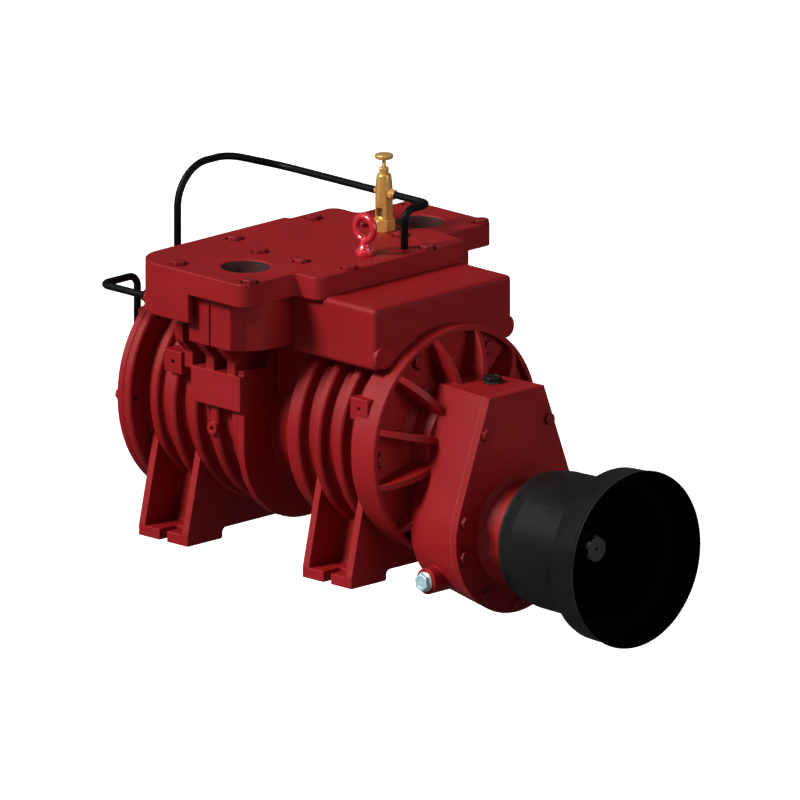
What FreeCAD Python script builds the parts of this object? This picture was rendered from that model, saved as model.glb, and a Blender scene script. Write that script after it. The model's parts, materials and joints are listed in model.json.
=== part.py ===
import FreeCAD, Part
import math
import os

# Rotary vane vacuum pump with a step-up gearbox, millimetres.
# +X runs along the shafts from the rear cover to the tractor shaft, +Y away from the
# side pad that the viewer sees, +Z up. The origin is on the plane that the feet stand
# on, midway between the front and rear feet and straight below the rotor axis.

# Heights of the two shafts
AXIS_HEIGHT = 168.0
GEAR_MODULE = 3.5
PINION_TEETH = 16
GEAR_TEETH = 36

# Clearances
RUN_GAP = 0.05
SEAT_GAP = 0.02
SCREW_GAP = 0.25
TIP_GAP = 0.3
END_GAP = 0.2
BACKLASH = 0.3
GASKET = 0.6

# Stator casting
BORE_RADIUS = 76.0
BORE_DROP = 12.0
CHAMBER_REAR = -199.4
CHAMBER_FRONT = 204.0
BARREL_RADIUS = 116.0
RIB_RADIUS = 130.0
RIB_WIDTH = 13.0
RIB_PITCH = 36.0
RIB_FLAT = 2.5
REAR_RIB_FRONTS = 4
REAR_RIB_FIRST = -125.4
FRONT_RIB_FIRST = 84.0
FRONT_RIB_COUNT = 3
END_RIB_RADIUS = 125.0
END_RIB_FRONT = -161.0
REAR_FLANGE_RADIUS = 144.0
REAR_FLANGE_FRONT = -188.4
LIP_WIDTH = 10.0
LIP_HALF = 132.0
LIP_CORNER = 103.0
WAIST_REAR = -6.0
WAIST_FRONT = 65.0
WAIST_WALL = 9.0
NECK_HALF = 72.0
BODY_FLANGE_WIDTH = 24.0
BODY_FLANGE_RADIUS = 138.0

# Feet
FOOT_SPACING = 278.0
FOOT_WIDTH = 83.0
FOOT_HALF = 136.0
FOOT_WEB = 10.0
FOOT_PAD_HEIGHT = 13.0
FOOT_PAD_DEPTH = 59.0
FOOT_LEAN_HEIGHT = 122.0
FOOT_LEAN_HALF = 111.0
FOOT_CHANNEL_DEPTH = 48.0
FOOT_SLOT_WIDTH = 13.0
FOOT_SLOT_DEPTH = 30.0

# Side pad, its lugs and the webs above it
PAD_REAR = -89.0
PAD_HALF = 139.0
PAD_RISE = 17.0
PAD_HEIGHT = 43.0
PAD_WEB_STEP = 16.0
PAD_WEB_REACH = 16.0
LUG_SIZE = 29.0
LUG_HEIGHT = 27.0
LUG_RISE = 55.5
LUG_HALF = 130.0
LUG_HOLE = 3.0
REAR_LUG_X = -128.8
FRONT_LUG_X = 187.0
RIB_BOSS_DROP = 14.0
RIB_BOSS_RADIUS = 8.0
RIB_BOSS_PROUD = 3.0

# Manifold on top of the stator
MANIFOLD_RISE = 111.0
MANIFOLD_WALL = 9.0
MANIFOLD_REAR = -106.0
MANIFOLD_FRONT = 108.0
MANIFOLD_HALF = 108.0
COVER_RISE = 176.0
COVER_THICKNESS = 28.0
BOX_REAR = 60.0
BOX_FRONT = 200.4
BOX_HALF = 117.0
BOX_DROP = 9.0
BOX_PROUD = 3.0
BOX_ROUND = 6.0
BAR_DROP = 7.0
BAR_HEIGHT = 27.0
BAR_THICKNESS = 10.0
BRIDGE_WALL = 12.0
PORT_X = 12.4
PORT_Y = 147.0
PORT_RADIUS = 30.0
DUCT_RADIUS = 48.0
DUCT_BLOCK_REAR = -29.0
DUCT_BLOCK_FRONT = 41.0
DUCT_BLOCK_HALF = 202.0
DUCT_GROOVE_WIDTH = 3.0
DUCT_LEDGE_REAR = -66.0
DUCT_LEDGE_HALF = 198.5

# Ported cover plate
COVER_REAR = -114.0
COVER_REAR_HALF = 92.0
COVER_FRONT = 115.0
COVER_FRONT_HALF = 127.0
WING_REAR = -90.0
WING_FRONT = 77.0
WING_NEAR = -216.0
WING_FAR = 210.0
WING_ROUND = 14.0
SKIRT_FRONT = -17.0
SKIRT_DROP = 36.0
SKIRT_INNER = 166.0
SKIRT_WALL = 8.0
SPOT_RADIUS = 11.0
SPOT_DEPTH = 2.0

# Fasteners: shank radius, width across flats, head height
BOLT_M10 = (5.0, 16.0, 6.4)
BOLT_M8 = (4.0, 13.0, 5.3)
BOLT_M6 = (3.0, 10.0, 4.0)
COVER_BOLT_LENGTH = 48.0
WING_BOLT_LENGTH = 24.0
WING_BOLT = (68.0, 197.0)
COVER_BOLTS = ((-52.0, 197.0), (-87.0, 67.0), (107.0, 66.0), (44.0, 85.0), (-23.0, 88.0))

# Rear cover
REAR_COVER_THICKNESS = 12.6
REAR_HUB_RADIUS = 62.0
REAR_HUB_DEPTH = 34.0
REAR_WEB_COUNT = 8
REAR_WEB_START = 22.5
REAR_BOLT_CIRCLE = 133.0
REAR_BOLT_COUNT = 8
REAR_GASKET_INNER = 92.0
REAR_CAP_THICKNESS = 8.0
REAR_CAP_RADIUS = 60.0
REAR_CAP_BOLT_CIRCLE = 53.0
REAR_CAP_BOLT_COUNT = 6

# Front housing: webbed flange and gear case in one casting
FLANGE_RADIUS = 140.0
FLANGE_THICKNESS = 18.0
FLANGE_FLOOR = 8.0
FLANGE_RIM = 6.5
FLANGE_WEB_COUNT = 12
FLANGE_WEB_START = 15.5
FLANGE_WEB_THICKNESS = 8.0
FLANGE_HUB_RADIUS = 72.0
FLANGE_BOLT_CIRCLE = 120.0
FLANGE_BOLT_ANGLES = (-2.0, 58.0, 118.0, 182.0)
FLANGE_BOLT_REACH = 18.0
CASE_NECK_LENGTH = 10.0
CASE_FLOOR = 15.0
CASE_COVER_THICKNESS = 12.0
CASE_RADIUS = 103.0
CASE_BACK_RADIUS = 87.0
CASE_NECK_RADIUS = 68.0
CASE_TOP = 79.0
CASE_TOP_HALF = 46.0
CASE_TOP_NARROWER = 8.0
CASE_WALL = 12.5
CASE_BOLT_CIRCLE = 92.0
CASE_BOLT_ANGLES = (-90.0, -53.0, -11.0, 15.5, 164.5, 191.0, 233.0)
CASE_TOP_BOLT = (53.0, 36.0)
CASE_BOLT_REACH = 14.0
COVER_BOSS_RADIUS = 58.0
COVER_BOSS_LENGTH = 47.0

# Bearings: bore radius, outer radius, width
ROTOR_BEARING = (20.0, 45.0, 23.0)
PTO_REAR_BEARING = (17.5, 36.0, 17.0)
PTO_FRONT_BEARING = (20.0, 40.0, 18.0)
ROLLER_RADIUS = 7.5
ROLLER_LENGTH = 15.0
ROLLER_COUNT = 13
PTO_REAR_BALL = 5.5
PTO_FRONT_BALL = 6.0
BALL_COUNT = 9
CAGE_HALF = 1.5
REAR_BEARING_INSET = 16.6
FRONT_BEARING_INSET = 14.0
PTO_REAR_BEARING_INSET = 6.0
PTO_FRONT_BEARING_INSET = 5.0

# Shaft seals: outer radius, width
ROTOR_SEAL = (34.0, 10.0)
PTO_SEAL = (31.0, 10.0)
ROTOR_SEAL_INSET = 2.5
PTO_SEAL_INSET = 4.0
SEAL_LIP_GAP = 0.05

# Rotor, vanes and shafts
ROTOR_SHAFT_RADIUS = 24.0
PINION_SEAT_RADIUS = 16.0
ROTOR_SHAFT_TAIL = 25.0
ROTOR_SHAFT_NOSE = 7.0
VANE_COUNT = 6
VANE_THICKNESS = 7.5
VANE_HEIGHT = 36.0
VANE_OFFSET = 10.0
VANE_SINK = 1.0
VANE_GAP = 0.1
ROTOR_HOLE_RADIUS = 9.0
ROTOR_HOLE_CIRCLE = 46.0
GEAR_WIDTH = 30.0
GEAR_REAR_SPACE = 15.0
GEAR_FRONT_SPACE = 21.0
GEAR_SEAT_RADIUS = 22.5
GEAR_COLLAR_RADIUS = 28.0
GEAR_COLLAR_WIDTH = 6.0
GEAR_DISH_DEPTH = 8.0
GEAR_HUB_RADIUS = 33.0
GEAR_RIM = 9.0
GEAR_HOLE_RADIUS = 7.0
KEY_WIDTH = 6.0
KEY_HEIGHT = 5.0
KEY_LENGTH = 24.0
CIRCLIP_WIDTH = 1.6
CIRCLIP_DEPTH = 1.2
CIRCLIP_LIP = 4.0

# Tractor shaft end: 35 mm size with six splines
SPLINE_REACH = 89.0
SPLINE_LENGTH = 76.0
SPLINE_MAJOR = 17.45
SPLINE_MINOR = 14.8
SPLINE_WIDTH = 8.64
SPLINE_COUNT = 6
SPLINE_GROOVE_FROM_END = 38.0
SPLINE_GROOVE_WIDTH = 6.4
SPLINE_CHAMFER = 2.5

# Shaft guard
GUARD_RADIUS = 84.0
GUARD_WALL = 3.5
GUARD_INNER = 41.0
GUARD_TUBE_LENGTH = 120.0
GUARD_MOUTH_RADIUS = 107.0
GUARD_MOUTH_LENGTH = 36.0
GUARD_MOUTH_FLARE = 2.0
GUARD_SCREW_CIRCLE = 48.0
GUARD_SCREW_COUNT = 4
GUARD_SCREW_REACH = 18.0

# Plugs in the gear case
DRAIN_FROM_BACK = 38.0
DRAIN_DROP = 57.0
DRAIN_FACE = 99.0
DRAIN_BOSS_RADIUS = 16.0
DRAIN_THREAD = 8.0
DRAIN_FLATS = 22.0
DRAIN_HEAD = 9.0
WASHER_THICKNESS = 1.5
FILLER_FROM_BACK = 40.0
FILLER_Y = 12.0
FILLER_RADIUS = 11.5
FILLER_HEIGHT = 7.5
FILLER_THREAD = 8.0

# Lifting eye
EYE_X = 75.6
EYE_Y = -8.4
EYE_RING = 29.0 / 2
EYE_WIRE = 4.6
EYE_COLLAR_RADIUS = 11.0
EYE_COLLAR = 8.0
EYE_CENTRE = 33.0
EYE_SHANK = 6.0
EYE_SHANK_LENGTH = 20.0

# Drip lubricator
LUBE_X = 10.8
LUBE_Y = 88.8
LUBE_BASE_FLATS = 24.0
LUBE_BASE_HEIGHT = 17.0
LUBE_NECK_RADIUS = 7.5
LUBE_NECK_HEIGHT = 6.0
LUBE_BODY_FLATS = 19.0
LUBE_BODY_HEIGHT = 40.0
LUBE_BONNET_RADIUS = 5.6
LUBE_BONNET_HEIGHT = 9.0
LUBE_STEM_RADIUS = 2.6
LUBE_STEM_REACH = 12.0
LUBE_KNOB_RADIUS = 11.5
LUBE_KNOB_HEIGHT = 8.0
LUBE_STEM_SHOW = 11.0
LUBE_SHANK_RADIUS = 8.0
LUBE_SHANK_LENGTH = 12.0
LUBE_KNURLS = 12
PIPE_RISE = 47.0
NIPPLE_RADIUS = 6.0
NIPPLE_LENGTH = 9.0

# Oil pipes
PIPE_RADIUS = 4.5
PIPE_BEND = 14.0
PIPE_DEPTH = 8.0
FITTING_FLATS = 14.0
FITTING_HEIGHT = 10.0
FRONT_PIPE_X = 88.8
FRONT_PIPE_Y = 45.6
LONG_PIPE_TURN_X = -165.0
LONG_PIPE_X = -205.7
LONG_PIPE_Y = -45.1
LONG_PIPE_TURN_Y = 40.0
LONG_PIPE_RISE = 15.0
LONG_PIPE_BEND = 50.0
SIDE_PIPE_BOSS_RADIUS = 11.0
SIDE_PIPE_BOSS_REAR = -146.0
SIDE_PIPE_X = -229.0
SIDE_PIPE_Y = -152.0
SIDE_PIPE_DROP = 39.0
SIDE_PIPE_TURN_Y = -90.0
SIDE_PIPE_FOOT = 62.0

# Values worked out from the sizes above
CENTRE_DISTANCE = GEAR_MODULE * (PINION_TEETH + GEAR_TEETH) / 2
PTO_HEIGHT = AXIS_HEIGHT - CENTRE_DISTANCE
BORE_HEIGHT = AXIS_HEIGHT - BORE_DROP
PAD_BOTTOM = AXIS_HEIGHT + PAD_RISE
PAD_TOP = PAD_BOTTOM + PAD_HEIGHT
LUG_CENTRE_Z = AXIS_HEIGHT + LUG_RISE
RIB_BOSS_Z = AXIS_HEIGHT - RIB_BOSS_DROP
MANIFOLD_BOTTOM = AXIS_HEIGHT + MANIFOLD_RISE
COVER_BOTTOM = AXIS_HEIGHT + COVER_RISE
BOX_BOTTOM = MANIFOLD_BOTTOM - BOX_DROP
BOX_TOP = COVER_BOTTOM + BOX_PROUD
BAR_BOTTOM = MANIFOLD_BOTTOM - BAR_DROP
SKIRT_BOTTOM = COVER_BOTTOM - SKIRT_DROP
CASE_BACK = CHAMBER_FRONT + FLANGE_THICKNESS + CASE_NECK_LENGTH
CASE_CAVITY = CASE_BACK + CASE_FLOOR
GEAR_REAR = CASE_CAVITY + GEAR_REAR_SPACE
CASE_JOINT = GEAR_REAR + GEAR_WIDTH + GEAR_FRONT_SPACE
CASE_FRONT = CASE_JOINT + CASE_COVER_THICKNESS
COVER_BOSS_FRONT = CASE_FRONT + COVER_BOSS_LENGTH
SPLINE_FRONT = COVER_BOSS_FRONT + SPLINE_REACH
GUARD_TUBE_FRONT = COVER_BOSS_FRONT + GUARD_TUBE_LENGTH
GUARD_MOUTH_FRONT = GUARD_TUBE_FRONT + GUARD_MOUTH_LENGTH
REAR_BEARING_FRONT = CHAMBER_REAR - REAR_BEARING_INSET
FRONT_BEARING_REAR = CHAMBER_FRONT + FRONT_BEARING_INSET
PTO_REAR_BEARING_REAR = CASE_BACK + PTO_REAR_BEARING_INSET
PTO_FRONT_BEARING_REAR = CASE_JOINT + PTO_FRONT_BEARING_INSET
ROTOR_SHAFT_REAR = REAR_BEARING_FRONT - ROTOR_SHAFT_TAIL
ROTOR_SHAFT_FRONT = GEAR_REAR + GEAR_WIDTH + ROTOR_SHAFT_NOSE
DRAIN_X = CASE_BACK + DRAIN_FROM_BACK
FILLER_X = CASE_BACK + FILLER_FROM_BACK
SIDE_PIPE_Z = COVER_BOTTOM - SIDE_PIPE_DROP
SIDE_PIPE_LOW = AXIS_HEIGHT + SIDE_PIPE_FOOT
ROTOR_RADIUS = BORE_RADIUS - BORE_DROP - TIP_GAP
BODY_REAR = CHAMBER_REAR + GASKET
BODY_FRONT = CHAMBER_FRONT - GASKET
BODY_TOP = COVER_BOTTOM - GASKET
NECK_BOTTOM = AXIS_HEIGHT + math.sqrt(BARREL_RADIUS ** 2 - NECK_HALF ** 2) - 1
COVER_TOP = COVER_BOTTOM + COVER_THICKNESS
COVER_SEAT = COVER_TOP - SPOT_DEPTH
PIPE_LEVEL = COVER_TOP + PIPE_RISE
LONG_PIPE_TOP = PIPE_LEVEL + LONG_PIPE_RISE
CASE_LID_BACK = CASE_JOINT + GASKET
REAR_BACK = CHAMBER_REAR - REAR_COVER_THICKNESS
PAD_FRONT = WAIST_REAR
REAR_HUB_BACK = REAR_BACK - REAR_HUB_DEPTH
ROLLER_CIRCLE = (ROTOR_BEARING[0] + ROTOR_BEARING[1]) / 2 - 0.6
INNER_RACEWAY = ROLLER_CIRCLE - ROLLER_RADIUS - RUN_GAP
OUTER_RACEWAY = ROLLER_CIRCLE + ROLLER_RADIUS + RUN_GAP
VANE_BOTTOM = math.sqrt(ROTOR_RADIUS ** 2 - VANE_OFFSET ** 2) - VANE_SINK - VANE_HEIGHT
FULL_TURN = 360.0


# Simple shapes

def at(x, y, z):
    return FreeCAD.Vector(x, y, z)


ALONG_X = at(1, 0, 0)
ALONG_Y = at(0, 1, 0)
ALONG_Z = at(0, 0, 1)


def rod_x(radius, x_from, x_to, z, y=0.0):
    """Round bar along X."""
    return Part.makeCylinder(radius, x_to - x_from, at(x_from, y, z), ALONG_X)


def rod_y(radius, y_from, y_to, x, z):
    """Round bar along Y."""
    return Part.makeCylinder(radius, y_to - y_from, at(x, y_from, z), ALONG_Y)


def rod_z(radius, z_from, z_to, x, y):
    """Round bar along Z."""
    return Part.makeCylinder(radius, z_to - z_from, at(x, y, z_from), ALONG_Z)


def tube_x(outer, inner, x_from, x_to, z, y=0.0):
    """Plain ring about an axis along X."""
    return rod_x(outer, x_from, x_to, z, y).cut(rod_x(inner, x_from, x_to, z, y))


def block(x_from, x_to, y_from, y_to, z_from, z_to):
    """Box between two corners."""
    return Part.makeBox(x_to - x_from, y_to - y_from, z_to - z_from, at(x_from, y_from, z_from))


def joined(shapes):
    """One solid from shapes that touch or overlap."""
    return shapes[0].multiFuse(shapes[1:]).removeSplitter()


def without(shape, tools):
    """The shape with every tool cut out of it."""
    return shape.cut(Part.makeCompound(tools)) if tools else shape


def outline(corners, radii):
    """Closed wire through the corners, each rounded by its own radius."""
    starts, ends, arcs = [], [], []
    for index, corner in enumerate(corners):
        radius = radii[index]
        back = (corners[index - 1] - corner).normalize()
        ahead = (corners[(index + 1) % len(corners)] - corner).normalize()
        if radius <= 0:
            starts.append(corner)
            ends.append(corner)
            arcs.append(None)
            continue
        half = back.getAngle(ahead) / 2
        reach = radius / math.tan(half)
        middle = (back + ahead).normalize()
        start = corner + back * reach
        end = corner + ahead * reach
        crest = corner + middle * (radius / math.sin(half) - radius)
        starts.append(start)
        ends.append(end)
        arcs.append(Part.Arc(start, crest, end).toShape())
    edges = []
    for index in range(len(corners)):
        if arcs[index]:
            edges.append(arcs[index])
        following = starts[(index + 1) % len(corners)]
        if ends[index].distanceToPoint(following) > 1e-6:
            edges.append(Part.LineSegment(ends[index], following).toShape())
    return Part.Wire(edges)


def slab(corners, radii, reach):
    """Rounded outline pushed along a vector."""
    return Part.Face(outline(corners, radii)).extrude(reach)


def turned_x(profile, z):
    """Solid turned about an axis along X from (x, radius, flat) corners, each cut by its flat."""
    corners = [at(x, 0, z + radius) for x, radius, _ in profile]
    points = []
    for index, corner in enumerate(corners):
        flat = profile[index][2]
        if flat > 0:
            back = (corners[index - 1] - corner).normalize()
            ahead = (corners[(index + 1) % len(corners)] - corner).normalize()
            points += [corner + back * flat, corner + ahead * flat]
        else:
            points.append(corner)
    face = Part.Face(Part.makePolygon(points + points[:1]))
    return face.revolve(at(0, 0, z), ALONG_X, FULL_TURN)


def turned_z(profile, x, y):
    """Solid turned about an axis along Z from (z, radius, rounding) corners."""
    corners = [at(x + radius, y, z) for z, radius, _ in profile]
    face = Part.Face(outline(corners, [rounding for _, _, rounding in profile]))
    return face.revolve(at(x, y, 0), ALONG_Z, FULL_TURN)


def hexagon(flats, start, direction, length):
    """Hexagonal bar with two flats facing across the start point."""
    corner = flats / math.sqrt(3)
    side = ALONG_Z if abs(direction.z) < 0.5 else ALONG_Y
    cross = direction.cross(side)
    points = []
    for step in range(7):
        turn = math.radians(60 * step)
        points.append(start + side * (corner * math.cos(turn)) + cross * (corner * math.sin(turn)))
    return Part.Face(Part.makePolygon(points)).extrude(direction * length)


def bolt(size, seat, direction, length):
    """Hexagon bolt whose head stands on seat and whose shank runs against direction."""
    shank, flats, head = size
    body = hexagon(flats, seat, direction, head)
    crown = Part.makeCone(flats * 0.62, flats * 0.45, head, seat, direction)
    stem = Part.makeCylinder(shank, length, seat - direction * length, direction)
    return body.common(crown).fuse(stem).removeSplitter()


def around(count, circle, z, start=0.0):
    """Points evenly spaced on a circle about an axis along X, as (y, z)."""
    angles = [start + FULL_TURN * step / count for step in range(count)]
    return on_circle(angles, circle, z)


def on_circle(angles, circle, z):
    """Points at angles from +Y towards +Z on a circle about an axis along X."""
    points = []
    for angle in angles:
        turn = math.radians(angle)
        points.append((circle * math.cos(turn), z + circle * math.sin(turn)))
    return points


def turned_copies(shape, count, z, y=0.0):
    """Copies of a shape spaced evenly about an axis along X."""
    copies = []
    for step in range(count):
        copy = shape.copy()
        copy.rotate(at(0, y, z), ALONG_X, FULL_TURN * step / count)
        copies.append(copy)
    return copies


def mirrored(shape):
    """The shape and its image on the other side of the shaft plane."""
    return [shape, shape.mirror(at(0, 0, 0), ALONG_Y)]


# Stator casting

def barrel_profile(x_from, x_to, rings, gap=0.0):
    """Outline of a ribbed barrel grown by a gap: rings are (front, width, radius)."""
    wall = BARREL_RADIUS + gap
    profile = [(x_from, 0.0, 0.0), (x_from, wall, 0.0)]
    for ring_front, width, ring_radius in rings:
        rear = ring_front - width - gap
        front = min(ring_front + gap, x_to)
        radius = ring_radius + gap
        if rear > x_from:
            profile.append((rear, wall, 0.0))
            profile.append((rear, radius, RIB_FLAT))
        else:
            profile[-1] = (x_from, radius, 0.0)
        profile.append((front, radius, RIB_FLAT if front < x_to else 0.0))
        if front < x_to:
            profile.append((front, wall, 0.0))
    if profile[-1][0] < x_to:
        profile.append((x_to, wall, 0.0))
    profile.append((x_to, 0.0, 0.0))
    return profile


def rear_rib_fronts():
    return [REAR_RIB_FIRST + RIB_PITCH * step for step in range(REAR_RIB_FRONTS)]


def front_rib_fronts():
    return [FRONT_RIB_FIRST + RIB_PITCH * step for step in range(FRONT_RIB_COUNT)]


def drums(gap=0.0):
    """The rear and the front ribbed drum, grown by a gap and not yet bored."""
    rings = [(REAR_FLANGE_FRONT, REAR_FLANGE_FRONT - BODY_REAR, REAR_FLANGE_RADIUS)]
    rings += [(END_RIB_FRONT, RIB_WIDTH, END_RIB_RADIUS)]
    rings += [(front, RIB_WIDTH, RIB_RADIUS) for front in rear_rib_fronts()]
    rear = turned_x(barrel_profile(BODY_REAR, WAIST_REAR, rings, gap), AXIS_HEIGHT)
    rings = [(FRONT_RIB_FIRST, FRONT_RIB_FIRST - WAIST_FRONT, RIB_RADIUS)]
    rings += [(front, RIB_WIDTH, RIB_RADIUS) for front in front_rib_fronts()[1:]]
    rings += [(BODY_FRONT, BODY_FLANGE_WIDTH, BODY_FLANGE_RADIUS)]
    front = turned_x(barrel_profile(WAIST_FRONT, BODY_FRONT, rings, gap), AXIS_HEIGHT)
    return [rear, front]


def barrel():
    """The two drums with a narrow waist between them."""
    waist = rod_x(BORE_RADIUS + WAIST_WALL, WAIST_REAR, WAIST_FRONT, BORE_HEIGHT)
    neck = block(WAIST_REAR, WAIST_FRONT, -NECK_HALF, NECK_HALF, BORE_HEIGHT, MANIFOLD_BOTTOM)
    return drums() + [waist, neck, waist_lip()]


def waist_lip():
    """Rounded square wall that closes the rear drum towards the waist."""
    low = AXIS_HEIGHT - LIP_HALF
    high = AXIS_HEIGHT + LIP_HALF / 2
    rear = WAIST_REAR - LIP_WIDTH
    corners = [
        at(rear, -LIP_HALF, high),
        at(rear, -LIP_HALF, low),
        at(rear, LIP_HALF, low),
        at(rear, LIP_HALF, high),
    ]
    return slab(corners, [0, LIP_CORNER, LIP_CORNER, 0], ALONG_X * LIP_WIDTH)


def foot_saddle(centre):
    """Pair of channel-shaped feet joined by a saddle that the ribbed drum sits in."""
    rear = centre - FOOT_WIDTH / 2
    front = centre + FOOT_WIDTH / 2
    inner = FOOT_HALF - FOOT_PAD_DEPTH
    top = AXIS_HEIGHT - BORE_RADIUS / 2
    corners = [
        at(rear, -FOOT_HALF, 0),
        at(rear, -inner, 0),
        at(rear, -inner, FOOT_PAD_HEIGHT),
        at(rear, inner, FOOT_PAD_HEIGHT),
        at(rear, inner, 0),
        at(rear, FOOT_HALF, 0),
        at(rear, FOOT_HALF, FOOT_PAD_HEIGHT),
        at(rear, FOOT_LEAN_HALF, FOOT_LEAN_HEIGHT),
        at(rear, -FOOT_LEAN_HALF, FOOT_LEAN_HEIGHT),
        at(rear, -FOOT_HALF, FOOT_PAD_HEIGHT),
    ]
    radii = [0, 3, 6, 6, 3, 0, 0, 0, 0, 0]
    saddle = slab(corners, radii, ALONG_X * FOOT_WIDTH)
    lean = (FOOT_HALF - FOOT_LEAN_HALF) / (FOOT_LEAN_HEIGHT - FOOT_PAD_HEIGHT)

    def leaning(half, z):
        return half - lean * (z - FOOT_PAD_HEIGHT)

    back = FOOT_HALF - FOOT_CHANNEL_DEPTH
    wall = back - FOOT_WEB
    tools = []
    for side in (-1, 1):
        channel = [
            at(rear + FOOT_WEB, side * (FOOT_HALF + 1), FOOT_PAD_HEIGHT),
            at(rear + FOOT_WEB, side * back, FOOT_PAD_HEIGHT),
            at(rear + FOOT_WEB, side * leaning(back, top), top),
            at(rear + FOOT_WEB, side * leaning(FOOT_HALF + 1, top), top),
        ]
        tools.append(slab(channel, [0, 6, 0, 0], ALONG_X * (FOOT_WIDTH - 2 * FOOT_WEB)))
        slot_end = FOOT_HALF - FOOT_SLOT_DEPTH + FOOT_SLOT_WIDTH / 2
        edges = sorted((side * slot_end, side * (FOOT_HALF + 1)))
        half = FOOT_SLOT_WIDTH / 2
        tools.append(block(centre - half, centre + half, edges[0], edges[1], -1, FOOT_PAD_HEIGHT + 1))
        tools.append(rod_z(half, -1, FOOT_PAD_HEIGHT + 1, centre, side * slot_end))
    hollow = [
        at(rear + FOOT_WEB, -wall, 0),
        at(rear + FOOT_WEB, wall, 0),
        at(rear + FOOT_WEB, leaning(wall, top), top),
        at(rear + FOOT_WEB, -leaning(wall, top), top),
    ]
    tools.append(slab(hollow, [0, 0, 0, 0], ALONG_X * (FOOT_WIDTH - 2 * FOOT_WEB)))
    return without(saddle, tools + drums(SEAT_GAP))


def side_pad():
    """Flat pad on the flank with the stepped webs that carry the port duct above it."""
    shapes = [block(PAD_REAR, PAD_FRONT, -PAD_HALF, -BORE_RADIUS, PAD_BOTTOM, PAD_TOP)]
    under = MANIFOLD_BOTTOM + 3
    edge = -PAD_HALF + 3
    step = PAD_TOP + PAD_WEB_STEP
    for front in rear_rib_fronts()[1:]:
        rear = front - RIB_WIDTH
        corners = [
            at(rear, -BORE_RADIUS, PAD_BOTTOM),
            at(rear, edge, PAD_TOP - 4),
            at(rear, edge, step),
            at(rear, edge - PAD_WEB_REACH, step + PAD_WEB_REACH),
            at(rear, edge - PAD_WEB_REACH - 2, under),
            at(rear, -BORE_RADIUS, under),
        ]
        shapes.append(slab(corners, [0, 0, 6, 6, 0, 0], ALONG_X * RIB_WIDTH))
    return shapes


def side_lug(centre):
    """Small drilled lug on a rib."""
    half = LUG_SIZE / 2
    low = LUG_CENTRE_Z - LUG_HEIGHT / 2
    lug = block(centre - half, centre + half, -LUG_HALF, -BARREL_RADIUS / 2, low, low + LUG_HEIGHT)
    return lug.cut(rod_y(LUG_HOLE, -LUG_HALF - 1, -LUG_HALF + 12, centre, LUG_CENTRE_Z))


def rib_boss():
    """Small round boss with a blind hole on the crest of a rib."""
    x = rear_rib_fronts()[2] - RIB_WIDTH / 2
    face = -RIB_RADIUS - RIB_BOSS_PROUD
    boss = rod_y(RIB_BOSS_RADIUS, face, -BARREL_RADIUS + 2, x, RIB_BOSS_Z)
    return boss.cut(rod_y(LUG_HOLE, face - 1, face + 12, x, RIB_BOSS_Z))


def end_bar():
    """Bar with round ends across the front face under the manifold's front chamber."""
    rear = BODY_FRONT - BAR_THICKNESS
    top = BAR_BOTTOM + BAR_HEIGHT
    corners = [
        at(rear, -BOX_HALF, BAR_BOTTOM),
        at(rear, BOX_HALF, BAR_BOTTOM),
        at(rear, BOX_HALF, top),
        at(rear, -BOX_HALF, top),
    ]
    return slab(corners, [BAR_HEIGHT / 2 - 1] * 4, ALONG_X * BAR_THICKNESS)


def port_duct():
    """Round duct under the near port with the flat block beside it."""
    low = MANIFOLD_BOTTOM + 3
    duct = rod_z(DUCT_RADIUS, MANIFOLD_BOTTOM, BODY_TOP, PORT_X, -PORT_Y)
    flat = block(DUCT_BLOCK_REAR, DUCT_BLOCK_FRONT, -DUCT_BLOCK_HALF, -PORT_Y, low, BODY_TOP)
    half = DUCT_GROOVE_WIDTH / 2
    middle = (DUCT_BLOCK_REAR + DUCT_BLOCK_FRONT) / 2
    groove = block(
        middle - half, middle + half, -DUCT_BLOCK_HALF - 1, -DUCT_BLOCK_HALF + 3, MANIFOLD_BOTTOM, BODY_TOP
    )
    link = block(
        PORT_X - DUCT_RADIUS, PORT_X + DUCT_RADIUS, -PORT_Y, -MANIFOLD_HALF + 1, MANIFOLD_BOTTOM, BODY_TOP
    )
    ledge = block(
        DUCT_LEDGE_REAR, DUCT_BLOCK_REAR + 1, -DUCT_LEDGE_HALF, -PORT_Y, SKIRT_BOTTOM + 5, BODY_TOP
    )
    return [duct, flat.cut(groove), link, ledge]


def front_box():
    """Rounded chamber in front of the cover plate."""
    box = block(BOX_REAR, BOX_FRONT, -BOX_HALF, BOX_HALF, BOX_BOTTOM, BOX_TOP)
    box = box.makeFillet(BOX_ROUND, box.Edges)
    step = block(BOX_REAR - 1, COVER_FRONT + 2, -BOX_HALF - 1, BOX_HALF + 1, BODY_TOP, BOX_TOP + 1)
    return box.cut(step)


def gas_ways():
    """Hollows of the manifold, one side for each port, and their ways to the bore."""
    wall = MANIFOLD_WALL
    half = BRIDGE_WALL / 2
    floor = MANIFOLD_BOTTOM + wall
    near = [
        block(MANIFOLD_REAR + wall, BOX_REAR + wall, -MANIFOLD_HALF + wall, -half, floor, BODY_TOP + 1),
        block(BOX_REAR, BOX_FRONT - wall, -BOX_HALF + wall, -half, floor, BODY_TOP - wall),
        rod_z(PORT_RADIUS + 6, floor, BODY_TOP + 1, PORT_X, -PORT_Y),
        block(PORT_X - 32, PORT_X + 32, -PORT_Y, -MANIFOLD_HALF + wall + 1, floor, BODY_TOP - wall),
        block(REAR_RIB_FIRST + 40, WAIST_REAR - 14, -62, -36, BORE_HEIGHT + 40, floor + 1),
    ]
    tools = []
    for way in near:
        tools += mirrored(way)
    return tools


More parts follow.
